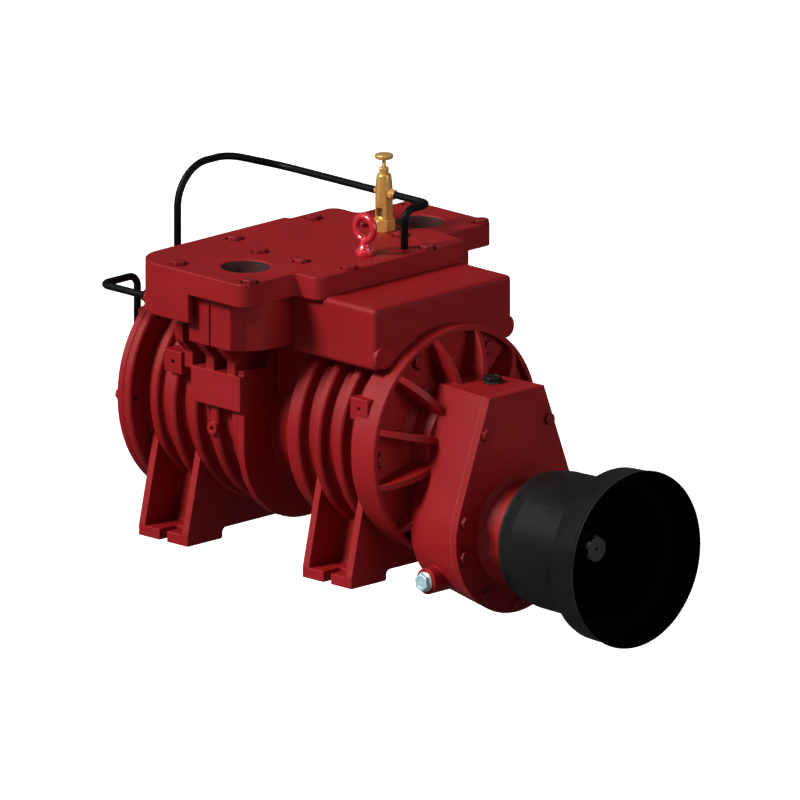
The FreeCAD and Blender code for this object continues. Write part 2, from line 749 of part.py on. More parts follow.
def pump_body():
    """Grey iron stator casting: ribbed barrel, side pads and manifold."""
    shapes = barrel()
    flank = side_pad() + port_duct()
    flank += [side_lug(REAR_LUG_X), side_lug(FRONT_LUG_X), rib_boss()]
    for shape in flank:
        shapes += mirrored(shape)
    shapes.append(
        block(MANIFOLD_REAR, MANIFOLD_FRONT, -MANIFOLD_HALF, MANIFOLD_HALF, MANIFOLD_BOTTOM, BODY_TOP)
    )
    shapes += [front_box(), end_bar()]
    shapes.append(
        rod_x(SIDE_PIPE_BOSS_RADIUS, SIDE_PIPE_BOSS_REAR, DUCT_BLOCK_REAR + 1, SIDE_PIPE_Z, SIDE_PIPE_Y)
    )
    shapes.append(
        block(MANIFOLD_REAR, BOX_FRONT - BOX_ROUND, -NECK_HALF, NECK_HALF, NECK_BOTTOM, MANIFOLD_BOTTOM + 1)
    )
    body = joined(shapes)
    tools = [rod_x(BORE_RADIUS, BODY_REAR - 1, BODY_FRONT + 1, BORE_HEIGHT)]
    tools += gas_ways()
    start = SIDE_PIPE_BOSS_REAR - 1
    end = SIDE_PIPE_BOSS_REAR + PIPE_DEPTH + 1
    tools.append(rod_x(PIPE_RADIUS + SEAT_GAP, start, end, SIDE_PIPE_Z, SIDE_PIPE_Y))
    for y, z in around(REAR_BOLT_COUNT, REAR_BOLT_CIRCLE, AXIS_HEIGHT):
        tools.append(rod_x(BOLT_M8[0] + SCREW_GAP, BODY_REAR - 1, REAR_FLANGE_FRONT + 1, z, y))
    for y, z in on_circle(FLANGE_BOLT_ANGLES, FLANGE_BOLT_CIRCLE, AXIS_HEIGHT):
        depth = FLANGE_BOLT_REACH + 2
        tools.append(rod_x(BOLT_M10[0] + SCREW_GAP, BODY_FRONT - depth, BODY_FRONT + 1, z, y))
    for x, y in cover_bolt_points():
        tools.append(rod_z(BOLT_M10[0] + SCREW_GAP, COVER_SEAT - COVER_BOLT_LENGTH - 2, BODY_TOP + 1, x, y))
    return without(body, tools)


# Ported cover

def cover_outline(z, thickness):
    """Plate with two wings, its corners rounded."""
    corners = [
        at(COVER_REAR, -COVER_REAR_HALF, z),
        at(WING_REAR, -COVER_REAR_HALF - 14, z),
        at(WING_REAR, WING_NEAR, z),
        at(WING_FRONT, WING_NEAR, z),
        at(WING_FRONT, -COVER_FRONT_HALF, z),
        at(COVER_FRONT, -COVER_FRONT_HALF, z),
        at(COVER_FRONT, COVER_FRONT_HALF, z),
        at(WING_FRONT, COVER_FRONT_HALF, z),
        at(WING_FRONT, WING_FAR, z),
        at(WING_REAR, WING_FAR, z),
        at(WING_REAR, COVER_REAR_HALF + 14, z),
        at(COVER_REAR, COVER_REAR_HALF, z),
    ]
    round_out = WING_ROUND
    radii = [8, 8, round_out, round_out, 8, round_out, round_out, 8, round_out, round_out, 8, 8]
    return slab(corners, radii, ALONG_Z * thickness)


def cover_bolt_points():
    """Bolts that run into the stator, as (x, y)."""
    points = []
    for x, y in COVER_BOLTS:
        points += [(x, -y), (x, y)]
    return points


def wing_bolt_points():
    """Bolts in the free front corners of the wings, as (x, y)."""
    x, y = WING_BOLT
    return [(x, -y), (x, y)]


def apron(side, half):
    """Wall that hangs from the outer rear corner of a wing."""
    corners = [
        at(WING_REAR, side * SKIRT_INNER, SKIRT_BOTTOM),
        at(WING_REAR, side * half, SKIRT_BOTTOM),
        at(SKIRT_FRONT, side * half, SKIRT_BOTTOM),
        at(SKIRT_FRONT, side * (half - SKIRT_WALL), SKIRT_BOTTOM),
        at(WING_REAR + SKIRT_WALL, side * (half - SKIRT_WALL), SKIRT_BOTTOM),
        at(WING_REAR + SKIRT_WALL, side * SKIRT_INNER, SKIRT_BOTTOM),
    ]
    radii = [0, WING_ROUND, 0, 0, WING_ROUND - SKIRT_WALL, 0]
    return slab(corners, radii, ALONG_Z * (COVER_BOTTOM + 1 - SKIRT_BOTTOM))


def manifold_cover():
    """Thick plate that closes the manifold and carries both ports."""
    plate = cover_outline(COVER_BOTTOM, COVER_THICKNESS)
    skirts = [apron(-1, -WING_NEAR), apron(1, WING_FAR)]
    plate = joined([plate] + skirts)
    tools = [rod_z(PORT_RADIUS, COVER_BOTTOM - 1, COVER_TOP + 1, PORT_X, y) for y in (-PORT_Y, PORT_Y)]
    for x, y in cover_bolt_points() + wing_bolt_points():
        tools.append(rod_z(BOLT_M10[0] + SCREW_GAP, COVER_BOTTOM - 1, COVER_TOP + 1, x, y))
        tools.append(rod_z(SPOT_RADIUS, COVER_SEAT, COVER_TOP + 1, x, y))
    holes = [
        (EYE_SHANK, EYE_SHANK_LENGTH, EYE_X, EYE_Y),
        (LUBE_SHANK_RADIUS, LUBE_SHANK_LENGTH, LUBE_X, LUBE_Y),
        (PIPE_RADIUS, PIPE_DEPTH + 1, FRONT_PIPE_X, FRONT_PIPE_Y),
    ]
    for radius, depth, x, y in holes:
        tools.append(rod_z(radius + SEAT_GAP, COVER_TOP - depth, COVER_TOP + 1, x, y))
    return without(plate, tools)


def manifold_gasket():
    """Thin sheet between the stator and its cover."""
    sheet = block(
        MANIFOLD_REAR, MANIFOLD_FRONT, -MANIFOLD_HALF, MANIFOLD_HALF, BODY_TOP, COVER_BOTTOM
    )
    rounds = mirrored(rod_z(DUCT_RADIUS, BODY_TOP, COVER_BOTTOM, PORT_X, -PORT_Y))
    links = mirrored(
        block(PORT_X - DUCT_RADIUS, PORT_X + DUCT_RADIUS, -PORT_Y, -MANIFOLD_HALF + 1, BODY_TOP, COVER_BOTTOM)
    )
    sheet = joined([sheet] + rounds + links)
    wall = MANIFOLD_WALL
    half = BRIDGE_WALL / 2
    opening = block(
        MANIFOLD_REAR + wall, BOX_REAR + wall, -MANIFOLD_HALF + wall, -half, BODY_TOP - 1, COVER_BOTTOM + 1
    )
    tools = mirrored(opening)
    tools += mirrored(rod_z(PORT_RADIUS + 6, BODY_TOP - 1, COVER_BOTTOM + 1, PORT_X, -PORT_Y))
    for x, y in cover_bolt_points():
        tools.append(rod_z(BOLT_M10[0] + SCREW_GAP, BODY_TOP - 1, COVER_BOTTOM + 1, x, y))
    return without(sheet, tools)


def manifold_bolts():
    """Hexagon bolts of the cover plate, short ones in the free corners of its wings."""
    bolts = [bolt(BOLT_M10, at(x, y, COVER_SEAT), ALONG_Z, COVER_BOLT_LENGTH) for x, y in cover_bolt_points()]
    bolts += [bolt(BOLT_M10, at(x, y, COVER_SEAT), ALONG_Z, WING_BOLT_LENGTH) for x, y in wing_bolt_points()]
    return bolts


def eye_bolt():
    """Lifting eye: shank, collar and ring standing across the pump."""
    shank = rod_z(EYE_SHANK, COVER_TOP - EYE_SHANK_LENGTH, COVER_TOP + 2, EYE_X, EYE_Y)
    collar = turned_z(
        [
            (COVER_TOP, 0, 0),
            (COVER_TOP, EYE_COLLAR_RADIUS, 0),
            (COVER_TOP + 3, EYE_COLLAR_RADIUS, 1.5),
            (COVER_TOP + EYE_COLLAR, EYE_WIRE + 1, 2),
            (COVER_TOP + EYE_CENTRE - EYE_RING, EYE_WIRE, 0),
            (COVER_TOP + EYE_CENTRE - EYE_RING, 0, 0),
        ],
        EYE_X,
        EYE_Y,
    )
    ring = Part.makeTorus(EYE_RING, EYE_WIRE, at(EYE_X, EYE_Y, COVER_TOP + EYE_CENTRE), ALONG_Y)
    return joined([collar, ring, shank])


# Rear cover and its bearing

def rear_cover():
    """Round end cover with a bearing hub and radial webs on its back."""
    disc = turned_x(
        [
            (CHAMBER_REAR, 0, 0),
            (CHAMBER_REAR, REAR_FLANGE_RADIUS, 2),
            (REAR_BACK, REAR_FLANGE_RADIUS, 3),
            (REAR_BACK, REAR_HUB_RADIUS + 3, 6),
            (REAR_HUB_BACK, REAR_HUB_RADIUS, 2),
            (REAR_HUB_BACK, 0, 0),
        ],
        AXIS_HEIGHT,
    )
    half = FLANGE_WEB_THICKNESS / 2
    web = [
        at(REAR_BACK + 1, -half, AXIS_HEIGHT + REAR_HUB_RADIUS - 8),
        at(REAR_BACK + 1, -half, AXIS_HEIGHT + REAR_BOLT_CIRCLE - 14),
        at(REAR_BACK - 4, -half, AXIS_HEIGHT + REAR_BOLT_CIRCLE - 14),
        at(REAR_HUB_BACK + 8, -half, AXIS_HEIGHT + REAR_HUB_RADIUS - 8),
    ]
    web = slab(web, [0, 0, 3, 0], ALONG_Y * FLANGE_WEB_THICKNESS)
    web.rotate(at(0, 0, AXIS_HEIGHT), ALONG_X, REAR_WEB_START)
    cover = joined([disc] + turned_copies(web, REAR_WEB_COUNT, AXIS_HEIGHT))
    pipe_hole = PIPE_RADIUS + SEAT_GAP
    rim_top = AXIS_HEIGHT + REAR_FLANGE_RADIUS + 1
    tools = [
        rod_x(ROTOR_SHAFT_RADIUS + 1, REAR_HUB_BACK - 1, CHAMBER_REAR + 1, AXIS_HEIGHT),
        rod_x(ROTOR_SEAL[0] + SEAT_GAP, REAR_BEARING_FRONT - 1, CHAMBER_REAR - 2, AXIS_HEIGHT),
        rod_x(ROTOR_BEARING[1] + SEAT_GAP, REAR_HUB_BACK - 1, REAR_BEARING_FRONT, AXIS_HEIGHT),
        rod_z(pipe_hole, long_pipe_foot(), rim_top, LONG_PIPE_X, LONG_PIPE_Y),
        rod_x(pipe_hole, REAR_BACK - 1, REAR_BACK + PIPE_DEPTH + 1, SIDE_PIPE_LOW, SIDE_PIPE_TURN_Y),
    ]
    for y, z in around(REAR_BOLT_COUNT, REAR_BOLT_CIRCLE, AXIS_HEIGHT):
        tools.append(rod_x(BOLT_M8[0] + SCREW_GAP, REAR_BACK - 1, CHAMBER_REAR + 1, z, y))
    for y, z in around(REAR_CAP_BOLT_COUNT, REAR_CAP_BOLT_CIRCLE, AXIS_HEIGHT):
        tools.append(rod_x(BOLT_M6[0] + SCREW_GAP, REAR_HUB_BACK - 1, REAR_HUB_BACK + 18, z, y))
    return without(cover, tools)


def rear_gasket():
    """Ring gasket behind the stator."""
    ring = tube_x(REAR_FLANGE_RADIUS - 1, REAR_GASKET_INNER, CHAMBER_REAR, BODY_REAR, AXIS_HEIGHT)
    tools = []
    for y, z in around(REAR_BOLT_COUNT, REAR_BOLT_CIRCLE, AXIS_HEIGHT):
        tools.append(rod_x(BOLT_M8[0] + SCREW_GAP, CHAMBER_REAR - 1, BODY_REAR + 1, z, y))
    return without(ring, tools)


def rear_cover_bolts():
    """Bolts through the rear cover into the flange of the stator."""
    length = REAR_FLANGE_FRONT - REAR_BACK - 1
    points = around(REAR_BOLT_COUNT, REAR_BOLT_CIRCLE, AXIS_HEIGHT)
    return [bolt(BOLT_M8, at(REAR_BACK, y, z), -ALONG_X, length) for y, z in points]


def rear_bearing_cap():
    """Flanged cap that closes the rear bearing."""
    front = REAR_BEARING_FRONT - ROTOR_BEARING[2]
    back = REAR_HUB_BACK - REAR_CAP_THICKNESS
    spigot = ROTOR_BEARING[1] - RUN_GAP
    cap = turned_x(
        [
            (front, spigot, 0),
            (REAR_HUB_BACK, spigot, 0),
            (REAR_HUB_BACK, REAR_CAP_RADIUS, 0),
            (back, REAR_CAP_RADIUS, 2),
            (back, 0, 0),
            (back + REAR_CAP_THICKNESS / 2, 0, 0),
            (back + REAR_CAP_THICKNESS / 2, spigot - 7, 2),
            (front, spigot - 7, 0),
        ],
        AXIS_HEIGHT,
    )
    tools = []
    for y, z in around(REAR_CAP_BOLT_COUNT, REAR_CAP_BOLT_CIRCLE, AXIS_HEIGHT):
        tools.append(rod_x(BOLT_M6[0] + SCREW_GAP, back - 1, REAR_HUB_BACK + 1, z, y))
    return without(cap, tools)


def rear_cap_screws():
    """Small screws that hold the bearing cap."""
    back = REAR_HUB_BACK - REAR_CAP_THICKNESS
    points = around(REAR_CAP_BOLT_COUNT, REAR_CAP_BOLT_CIRCLE, AXIS_HEIGHT)
    return [bolt(BOLT_M6, at(back, y, z), -ALONG_X, REAR_CAP_THICKNESS + 16) for y, z in points]


def outer_race(bearing, x_from, z, raceway):
    """Outer ring of a bearing."""
    return tube_x(bearing[1], raceway, x_from, x_from + bearing[2], z)


def inner_race(bearing, x_from, z, raceway):
    """Inner ring of a bearing."""
    return tube_x(raceway, bearing[0] + SEAT_GAP, x_from, x_from + bearing[2], z)


def ball_track(bearing, x_from, z, ball):
    """Groove that the balls run in."""
    circle = (bearing[0] + bearing[1]) / 2
    return Part.makeTorus(circle, ball + RUN_GAP, at(x_from + bearing[2] / 2, 0, z), ALONG_X)


def sealed_outer(bearing, x_from, z, ball):
    """Outer ring of a sealed ball bearing, with both its side shields."""
    middle = (bearing[0] + bearing[1]) / 2
    inner = middle - 4
    front = x_from + bearing[2]
    ring = turned_x(
        [
            (x_from, bearing[1], 0.8),
            (front, bearing[1], 0.8),
            (front, middle + 5, 0),
            (front - 0.8, middle + 5, 0),
            (front - 0.8, inner, 0),
            (front - 1.8, inner, 0),
            (front - 1.8, middle + 4, 0),
            (x_from + 1.8, middle + 4, 0),
            (x_from + 1.8, inner, 0),
            (x_from + 0.8, inner, 0),
            (x_from + 0.8, middle + 5, 0),
            (x_from, middle + 5, 0),
        ],
        z,
    )
    return ring.cut(ball_track(bearing, x_from, z, ball))


def sealed_inner(bearing, x_from, z, ball):
    """Inner ring of a sealed ball bearing."""
    middle = (bearing[0] + bearing[1]) / 2
    ring = inner_race(bearing, x_from, z, middle - 4 - TIP_GAP)
    return ring.cut(ball_track(bearing, x_from, z, ball))


def balls(bearing, x_from, z, ball):
    """Set of balls between two rings."""
    circle = (bearing[0] + bearing[1]) / 2
    middle = x_from + bearing[2] / 2
    return [Part.makeSphere(ball, at(middle, y, height)) for y, height in around(BALL_COUNT, circle, z)]


def ball_cage(bearing, x_from, z, ball):
    """Ring with pockets that keeps the balls apart."""
    circle = (bearing[0] + bearing[1]) / 2
    middle = x_from + bearing[2] / 2
    half = ball + 0.7
    ring = tube_x(circle + CAGE_HALF, circle - CAGE_HALF, middle - half, middle + half, z)
    reach = 2 * CAGE_HALF
    pocket = rod_z(ball + RUN_GAP, z + circle - reach, z + circle + reach, middle, 0)
    pocket.rotate(at(middle, 0, z), ALONG_X, -90)
    return without(ring, turned_copies(pocket, BALL_COUNT, z))


def rollers(x_from):
    """Full set of cylindrical rollers between two raceways."""
    middle = x_from + ROTOR_BEARING[2] / 2
    half = ROLLER_LENGTH / 2
    roller = rod_x(ROLLER_RADIUS, middle - half, middle + half, AXIS_HEIGHT + ROLLER_CIRCLE)
    return turned_copies(roller, ROLLER_COUNT, AXIS_HEIGHT)


def lip_seal(seal, x_from, z, shaft):
    """Shaft seal: a case ring and a lip that leans on the shaft."""
    outer, width = seal
    lip = shaft + SEAL_LIP_GAP
    return turned_x(
        [
            (x_from, outer, 0.8),
            (x_from + width, outer, 0.8),
            (x_from + width, outer - 3, 0),
            (x_from + 3, outer - 3, 0),
            (x_from + 3, lip + 3, 0),
            (x_from + width - 2, lip + 3, 0),
            (x_from + width - 3, lip, 0),
            (x_from + 1, lip + 1, 0),
            (x_from, lip + 2, 0),
        ],
        z,
    )


# Front housing and gear case

def pear(x, radius, top, top_half, shrink=0.0, centre=None):
    """Pear outline of the gear case: flat top, straight flanks and a round belly."""
    middle = PTO_HEIGHT if centre is None else centre
    radius = radius - shrink
    top = AXIS_HEIGHT + top - shrink
    half = top_half - shrink * 0.6
    rise = top - middle
    reach = math.hypot(half, rise)
    lean = math.atan2(rise, half) - math.acos(radius / reach)
    touch_y = radius * math.cos(lean)
    touch_z = middle + radius * math.sin(lean)
    left_top = at(x, -half, top)
    right_top = at(x, half, top)
    left = at(x, -touch_y, touch_z)
    right = at(x, touch_y, touch_z)
    edges = [
        Part.LineSegment(left_top, right_top).toShape(),
        Part.LineSegment(right_top, right).toShape(),
        Part.Arc(right, at(x, 0, middle - radius), left).toShape(),
        Part.LineSegment(left, left_top).toShape(),
    ]
    return Part.Wire(edges)


def case_outline(x, shrink=0.0):
    """Outline at x of the one taper that the gear case and its cover share."""
    share = (x - CASE_BACK) / (CASE_FRONT - CASE_BACK)
    radius = CASE_BACK_RADIUS + share * (CASE_RADIUS - CASE_BACK_RADIUS)
    return pear(x, radius, CASE_TOP, CASE_TOP_HALF - (1 - share) * CASE_TOP_NARROWER, shrink)


def tapered(x_from, x_to, shrink=0.0):
    """Length of the gear case's taper."""
    return Part.makeLoft([case_outline(x_from, shrink), case_outline(x_to, shrink)], True, True)


def gear_case():
    """Tapered pear-shaped case from the flange to the joint with its cover."""
    neck = pear(CHAMBER_FRONT + FLANGE_FLOOR - 1, CASE_NECK_RADIUS, CASE_TOP - 14, 34, 0, PTO_HEIGHT + 16)
    return [Part.makeLoft([neck, case_outline(CASE_BACK)], True, True), tapered(CASE_BACK, CASE_JOINT)]


def flange_webs():
    """Bow-backed gussets from the flange rim up to the hub."""
    floor = CHAMBER_FRONT + FLANGE_FLOOR - 1
    face = CHAMBER_FRONT + FLANGE_THICKNESS
    half = FLANGE_WEB_THICKNESS / 2
    rim = FLANGE_RADIUS - FLANGE_RIM + 3
    hub = FLANGE_HUB_RADIUS
    crest = CASE_BACK + 18
    low = at(floor, -half, AXIS_HEIGHT + hub - 14)
    out = at(floor, -half, AXIS_HEIGHT + rim)
    edge = at(face - 1, -half, AXIS_HEIGHT + rim)
    bow = at(face + (crest - face) * 0.64, -half, AXIS_HEIGHT + hub + (rim - hub) * 0.67)
    high = at(crest, -half, AXIS_HEIGHT + hub + 2)
    inner = at(crest, -half, AXIS_HEIGHT + hub - 14)
    wire = Part.Wire(
        [
            Part.LineSegment(low, out).toShape(),
            Part.LineSegment(out, edge).toShape(),
            Part.Arc(edge, bow, high).toShape(),
            Part.LineSegment(high, inner).toShape(),
            Part.LineSegment(inner, low).toShape(),
        ]
    )
    web = Part.Face(wire).extrude(ALONG_Y * FLANGE_WEB_THICKNESS)
    web.rotate(at(0, 0, AXIS_HEIGHT), ALONG_X, FLANGE_WEB_START)
    return turned_copies(web, FLANGE_WEB_COUNT, AXIS_HEIGHT)


def front_housing():
    """Webbed front flange, bearing hub and gear case in one casting."""
    face = CHAMBER_FRONT + FLANGE_THICKNESS
    floor = CHAMBER_FRONT + FLANGE_FLOOR
    rim_inner = FLANGE_RADIUS - FLANGE_RIM
    flange = turned_x(
        [
            (CHAMBER_FRONT, 0, 0),
            (CHAMBER_FRONT, FLANGE_RADIUS, 0),
            (face, FLANGE_RADIUS, 1.5),
            (face, rim_inner, 0),
            (floor, rim_inner - 2, 0),
            (floor, FLANGE_HUB_RADIUS + 4, 6),
            (CASE_BACK + 10, FLANGE_HUB_RADIUS - 4, 0),
            (CASE_BACK + 10, 0, 0),
        ],
        AXIS_HEIGHT,
    )
    drain_height = PTO_HEIGHT - DRAIN_DROP
    case_top = AXIS_HEIGHT + CASE_TOP
    boss = rod_y(DRAIN_BOSS_RADIUS, -DRAIN_FACE, -DRAIN_DROP, DRAIN_X, drain_height)
    shell = joined([flange] + gear_case() + flange_webs() + [boss])
    seat = FRONT_BEARING_REAR
    pto_seat = PTO_REAR_BEARING_REAR
    bearing_boss = rod_x(PTO_REAR_BEARING[1] + 10, CASE_BACK, pto_seat + PTO_REAR_BEARING[2] + 1, PTO_HEIGHT)
    tools = [
        tapered(CASE_CAVITY, CASE_JOINT + 1, CASE_WALL).cut(bearing_boss),
        rod_x(ROTOR_SHAFT_RADIUS + 1, CHAMBER_FRONT - 1, seat, AXIS_HEIGHT),
        rod_x(ROTOR_SEAL[0] + SEAT_GAP, CHAMBER_FRONT + 2, seat, AXIS_HEIGHT),
        rod_x(ROTOR_BEARING[1] + SEAT_GAP, seat, CASE_CAVITY + 1, AXIS_HEIGHT),
        rod_x(PTO_REAR_BEARING[1] + SEAT_GAP, pto_seat, pto_seat + PTO_REAR_BEARING[2] + 2, PTO_HEIGHT),
        rod_x(PTO_REAR_BEARING[1] - 7, pto_seat - 3, pto_seat, PTO_HEIGHT),
        rod_y(DRAIN_THREAD + SEAT_GAP, -DRAIN_FACE - 1, -DRAIN_DROP, DRAIN_X, drain_height),
        rod_z(FILLER_THREAD + SEAT_GAP, case_top - 20, case_top + 1, FILLER_X, FILLER_Y),
    ]
    for y, z in on_circle(FLANGE_BOLT_ANGLES, FLANGE_BOLT_CIRCLE, AXIS_HEIGHT):
        tools.append(rod_x(BOLT_M10[0] + SCREW_GAP, CHAMBER_FRONT - 1, face + 1, z, y))
    for y, z in case_bolt_points():
        tools.append(rod_x(BOLT_M8[0] + SCREW_GAP, CASE_JOINT - CASE_BOLT_REACH - 2, CASE_JOINT + 1, z, y))
    return without(shell, tools)


def case_bolt_points():
    """Bolts round the edge of the gear case cover, as (y, z)."""
    points = on_circle(CASE_BOLT_ANGLES, CASE_BOLT_CIRCLE, PTO_HEIGHT)
    for side in (-1, 1):
        points.append((side * CASE_TOP_BOLT[0], AXIS_HEIGHT + CASE_TOP_BOLT[1]))
    return points


def front_gasket():
    """Ring gasket in front of the stator."""
    ring = tube_x(FLANGE_RADIUS - 2, BORE_RADIUS + BORE_DROP + 2, BODY_FRONT, CHAMBER_FRONT, AXIS_HEIGHT)
    tools = []
    for y, z in on_circle(FLANGE_BOLT_ANGLES, FLANGE_BOLT_CIRCLE, AXIS_HEIGHT):
        tools.append(rod_x(BOLT_M10[0] + SCREW_GAP, BODY_FRONT - 1, CHAMBER_FRONT + 1, z, y))
    return without(ring, tools)


def front_flange_bolts():
    """Bolts through the front flange into the stator."""
    seat = CHAMBER_FRONT + FLANGE_FLOOR
    length = FLANGE_FLOOR + GASKET + FLANGE_BOLT_REACH
    points = on_circle(FLANGE_BOLT_ANGLES, FLANGE_BOLT_CIRCLE, AXIS_HEIGHT)
    return [bolt(BOLT_M10, at(seat, y, z), ALONG_X, length) for y, z in points]


def gearbox_gasket():
    """Pear-shaped gasket under the gear case cover."""
    sheet = Part.Face(case_outline(CASE_JOINT)).extrude(ALONG_X * GASKET)
    hole = Part.Face(case_outline(CASE_JOINT - 1, CASE_WALL))
    tools = [hole.extrude(ALONG_X * (GASKET + 2))]
    for y, z in case_bolt_points():
        tools.append(rod_x(BOLT_M8[0] + SCREW_GAP, CASE_JOINT - 1, CASE_LID_BACK + 1, z, y))
    return without(sheet, tools)


def gearbox_cover():
    """Front cover of the gear case with the boss for the tractor shaft."""
    boss = turned_x(
        [
            (CASE_FRONT - 1, 0, 0),
            (CASE_FRONT - 1, COVER_BOSS_RADIUS + 10, 0),
            (CASE_FRONT, COVER_BOSS_RADIUS + 10, 0),
            (CASE_FRONT + 10, COVER_BOSS_RADIUS, 6),
            (COVER_BOSS_FRONT, COVER_BOSS_RADIUS, 1.5),
            (COVER_BOSS_FRONT, 0, 0),
        ],
        PTO_HEIGHT,
    )
    cover = joined([tapered(CASE_LID_BACK, CASE_FRONT), boss])
    bearing_front = PTO_FRONT_BEARING_REAR + PTO_FRONT_BEARING[2]
    seal_rear = COVER_BOSS_FRONT - 18
    tools = [
        rod_x(PTO_FRONT_BEARING[1] + SEAT_GAP, CASE_LID_BACK - 1, bearing_front, PTO_HEIGHT),
        rod_x(PTO_FRONT_BEARING[1] - 8, bearing_front - 1, seal_rear, PTO_HEIGHT),
        rod_x(PTO_SEAL[0] + SEAT_GAP, seal_rear, COVER_BOSS_FRONT + 1, PTO_HEIGHT),
    ]
    for y, z in case_bolt_points():
        tools.append(rod_x(BOLT_M8[0] + SCREW_GAP, CASE_LID_BACK - 1, CASE_FRONT + 1, z, y))
    for y, z in around(GUARD_SCREW_COUNT, GUARD_SCREW_CIRCLE, PTO_HEIGHT, 45):
        depth = GUARD_SCREW_REACH + 2
        tools.append(rod_x(BOLT_M8[0] + SCREW_GAP, COVER_BOSS_FRONT - depth, COVER_BOSS_FRONT + 1, z, y))
    return without(cover, tools)


def gearbox_cover_bolts():
    """Bolts round the gear case cover."""
    length = CASE_FRONT - CASE_JOINT + CASE_BOLT_REACH
    return [bolt(BOLT_M8, at(CASE_FRONT, y, z), ALONG_X, length) for y, z in case_bolt_points()]


def drain_plug():
    """Hexagon plug at the bottom of the gear case."""
    height = PTO_HEIGHT - DRAIN_DROP
    face = -DRAIN_FACE - WASHER_THICKNESS
    seat = at(DRAIN_X, face, height)
    head = hexagon(DRAIN_FLATS, seat, -ALONG_Y, DRAIN_HEAD)
    crown = Part.makeCone(DRAIN_FLATS * 0.62, DRAIN_FLATS * 0.48, DRAIN_HEAD, seat, -ALONG_Y)
    shank = rod_y(DRAIN_THREAD, face, face + 24, DRAIN_X, height)
    return head.common(crown).fuse(shank).removeSplitter()


def drain_washer():
    """Copper ring under the drain plug."""
    height = PTO_HEIGHT - DRAIN_DROP
    face = -DRAIN_FACE - WASHER_THICKNESS
    ring = rod_y(DRAIN_FLATS / 2 + 1, face, -DRAIN_FACE, DRAIN_X, height)
    return ring.cut(rod_y(DRAIN_THREAD + SEAT_GAP, face - 1, -DRAIN_FACE + 1, DRAIN_X, height))


def filler_plug():
    """Ribbed breather plug on top of the gear case."""
    base = AXIS_HEIGHT + CASE_TOP
    cap = turned_z(
        [
            (base, 0, 0),
            (base, FILLER_RADIUS, 0),
            (base + FILLER_HEIGHT, FILLER_RADIUS, 2),
            (base + FILLER_HEIGHT, 0, 0),
        ],
        FILLER_X,
        FILLER_Y,
    )
    shank = rod_z(FILLER_THREAD, base - 16, base + 1, FILLER_X, FILLER_Y)
    notches = []
    for step in range(LUBE_KNURLS):
        turn = math.radians(FULL_TURN * step / LUBE_KNURLS)
        x = FILLER_X + (FILLER_RADIUS + 0.6) * math.cos(turn)
        y = FILLER_Y + (FILLER_RADIUS + 0.6) * math.sin(turn)
        notches.append(rod_z(1.4, base + 2, base + FILLER_HEIGHT + 1, x, y))
    return without(joined([cap, shank]), notches)


# Rotor set

def rotor():
    """Slotted rotor with weight holes between its slots."""
    core = rod_x(ROTOR_RADIUS, CHAMBER_REAR + END_GAP, CHAMBER_FRONT - END_GAP, AXIS_HEIGHT)
    half = VANE_THICKNESS / 2 + VANE_GAP
    slot = block(
        CHAMBER_REAR - 1, CHAMBER_FRONT + 1, VANE_OFFSET - half, VANE_OFFSET + half,
        AXIS_HEIGHT + VANE_BOTTOM - VANE_GAP, AXIS_HEIGHT + ROTOR_RADIUS + 1,
    )
    hole = rod_x(ROTOR_HOLE_RADIUS, CHAMBER_REAR - 1, CHAMBER_FRONT + 1, AXIS_HEIGHT + ROTOR_HOLE_CIRCLE)
    lead = 180 / VANE_COUNT + math.degrees(math.asin(VANE_OFFSET / ROTOR_HOLE_CIRCLE))
    hole.rotate(at(0, 0, AXIS_HEIGHT), ALONG_X, -lead)
    tools = turned_copies(slot, VANE_COUNT, AXIS_HEIGHT) + turned_copies(hole, VANE_COUNT, AXIS_HEIGHT)
    tools.append(rod_x(ROTOR_SHAFT_RADIUS + SEAT_GAP, CHAMBER_REAR - 1, CHAMBER_FRONT + 1, AXIS_HEIGHT))
    return without(core, tools)


def rotor_vanes():
    """Vanes lying at the bottom of their slots."""
    half = VANE_THICKNESS / 2
    vane = block(
        CHAMBER_REAR + END_GAP, CHAMBER_FRONT - END_GAP, VANE_OFFSET - half, VANE_OFFSET + half,
        AXIS_HEIGHT + VANE_BOTTOM, AXIS_HEIGHT + VANE_BOTTOM + VANE_HEIGHT,
    )
    return turned_copies(vane, VANE_COUNT, AXIS_HEIGHT)


def rotor_shaft():
    """Stepped shaft of the rotor, keyed for the pinion at its front end."""
    bearing = ROTOR_BEARING[0]
    shaft = turned_x(
        [
            (ROTOR_SHAFT_REAR, 0, 0),
            (ROTOR_SHAFT_REAR, bearing, 1),
            (REAR_BEARING_FRONT, bearing, 0),
            (REAR_BEARING_FRONT, ROTOR_SHAFT_RADIUS, 0),
            (FRONT_BEARING_REAR, ROTOR_SHAFT_RADIUS, 0),
            (FRONT_BEARING_REAR, bearing, 0),
            (GEAR_REAR, bearing, 0),
            (GEAR_REAR, PINION_SEAT_RADIUS, 0),
            (ROTOR_SHAFT_FRONT, PINION_SEAT_RADIUS, 1),
            (ROTOR_SHAFT_FRONT, 0, 0),
        ],
        AXIS_HEIGHT,
    )
    groove = GEAR_REAR + GEAR_WIDTH
    tools = [
        key_block(PINION_SEAT_RADIUS, AXIS_HEIGHT, SEAT_GAP),
        tube_x(
            PINION_SEAT_RADIUS + 1, PINION_SEAT_RADIUS - CIRCLIP_DEPTH - SEAT_GAP,
            groove, groove + CIRCLIP_WIDTH, AXIS_HEIGHT,
        ),
    ]
    return without(shaft, tools)


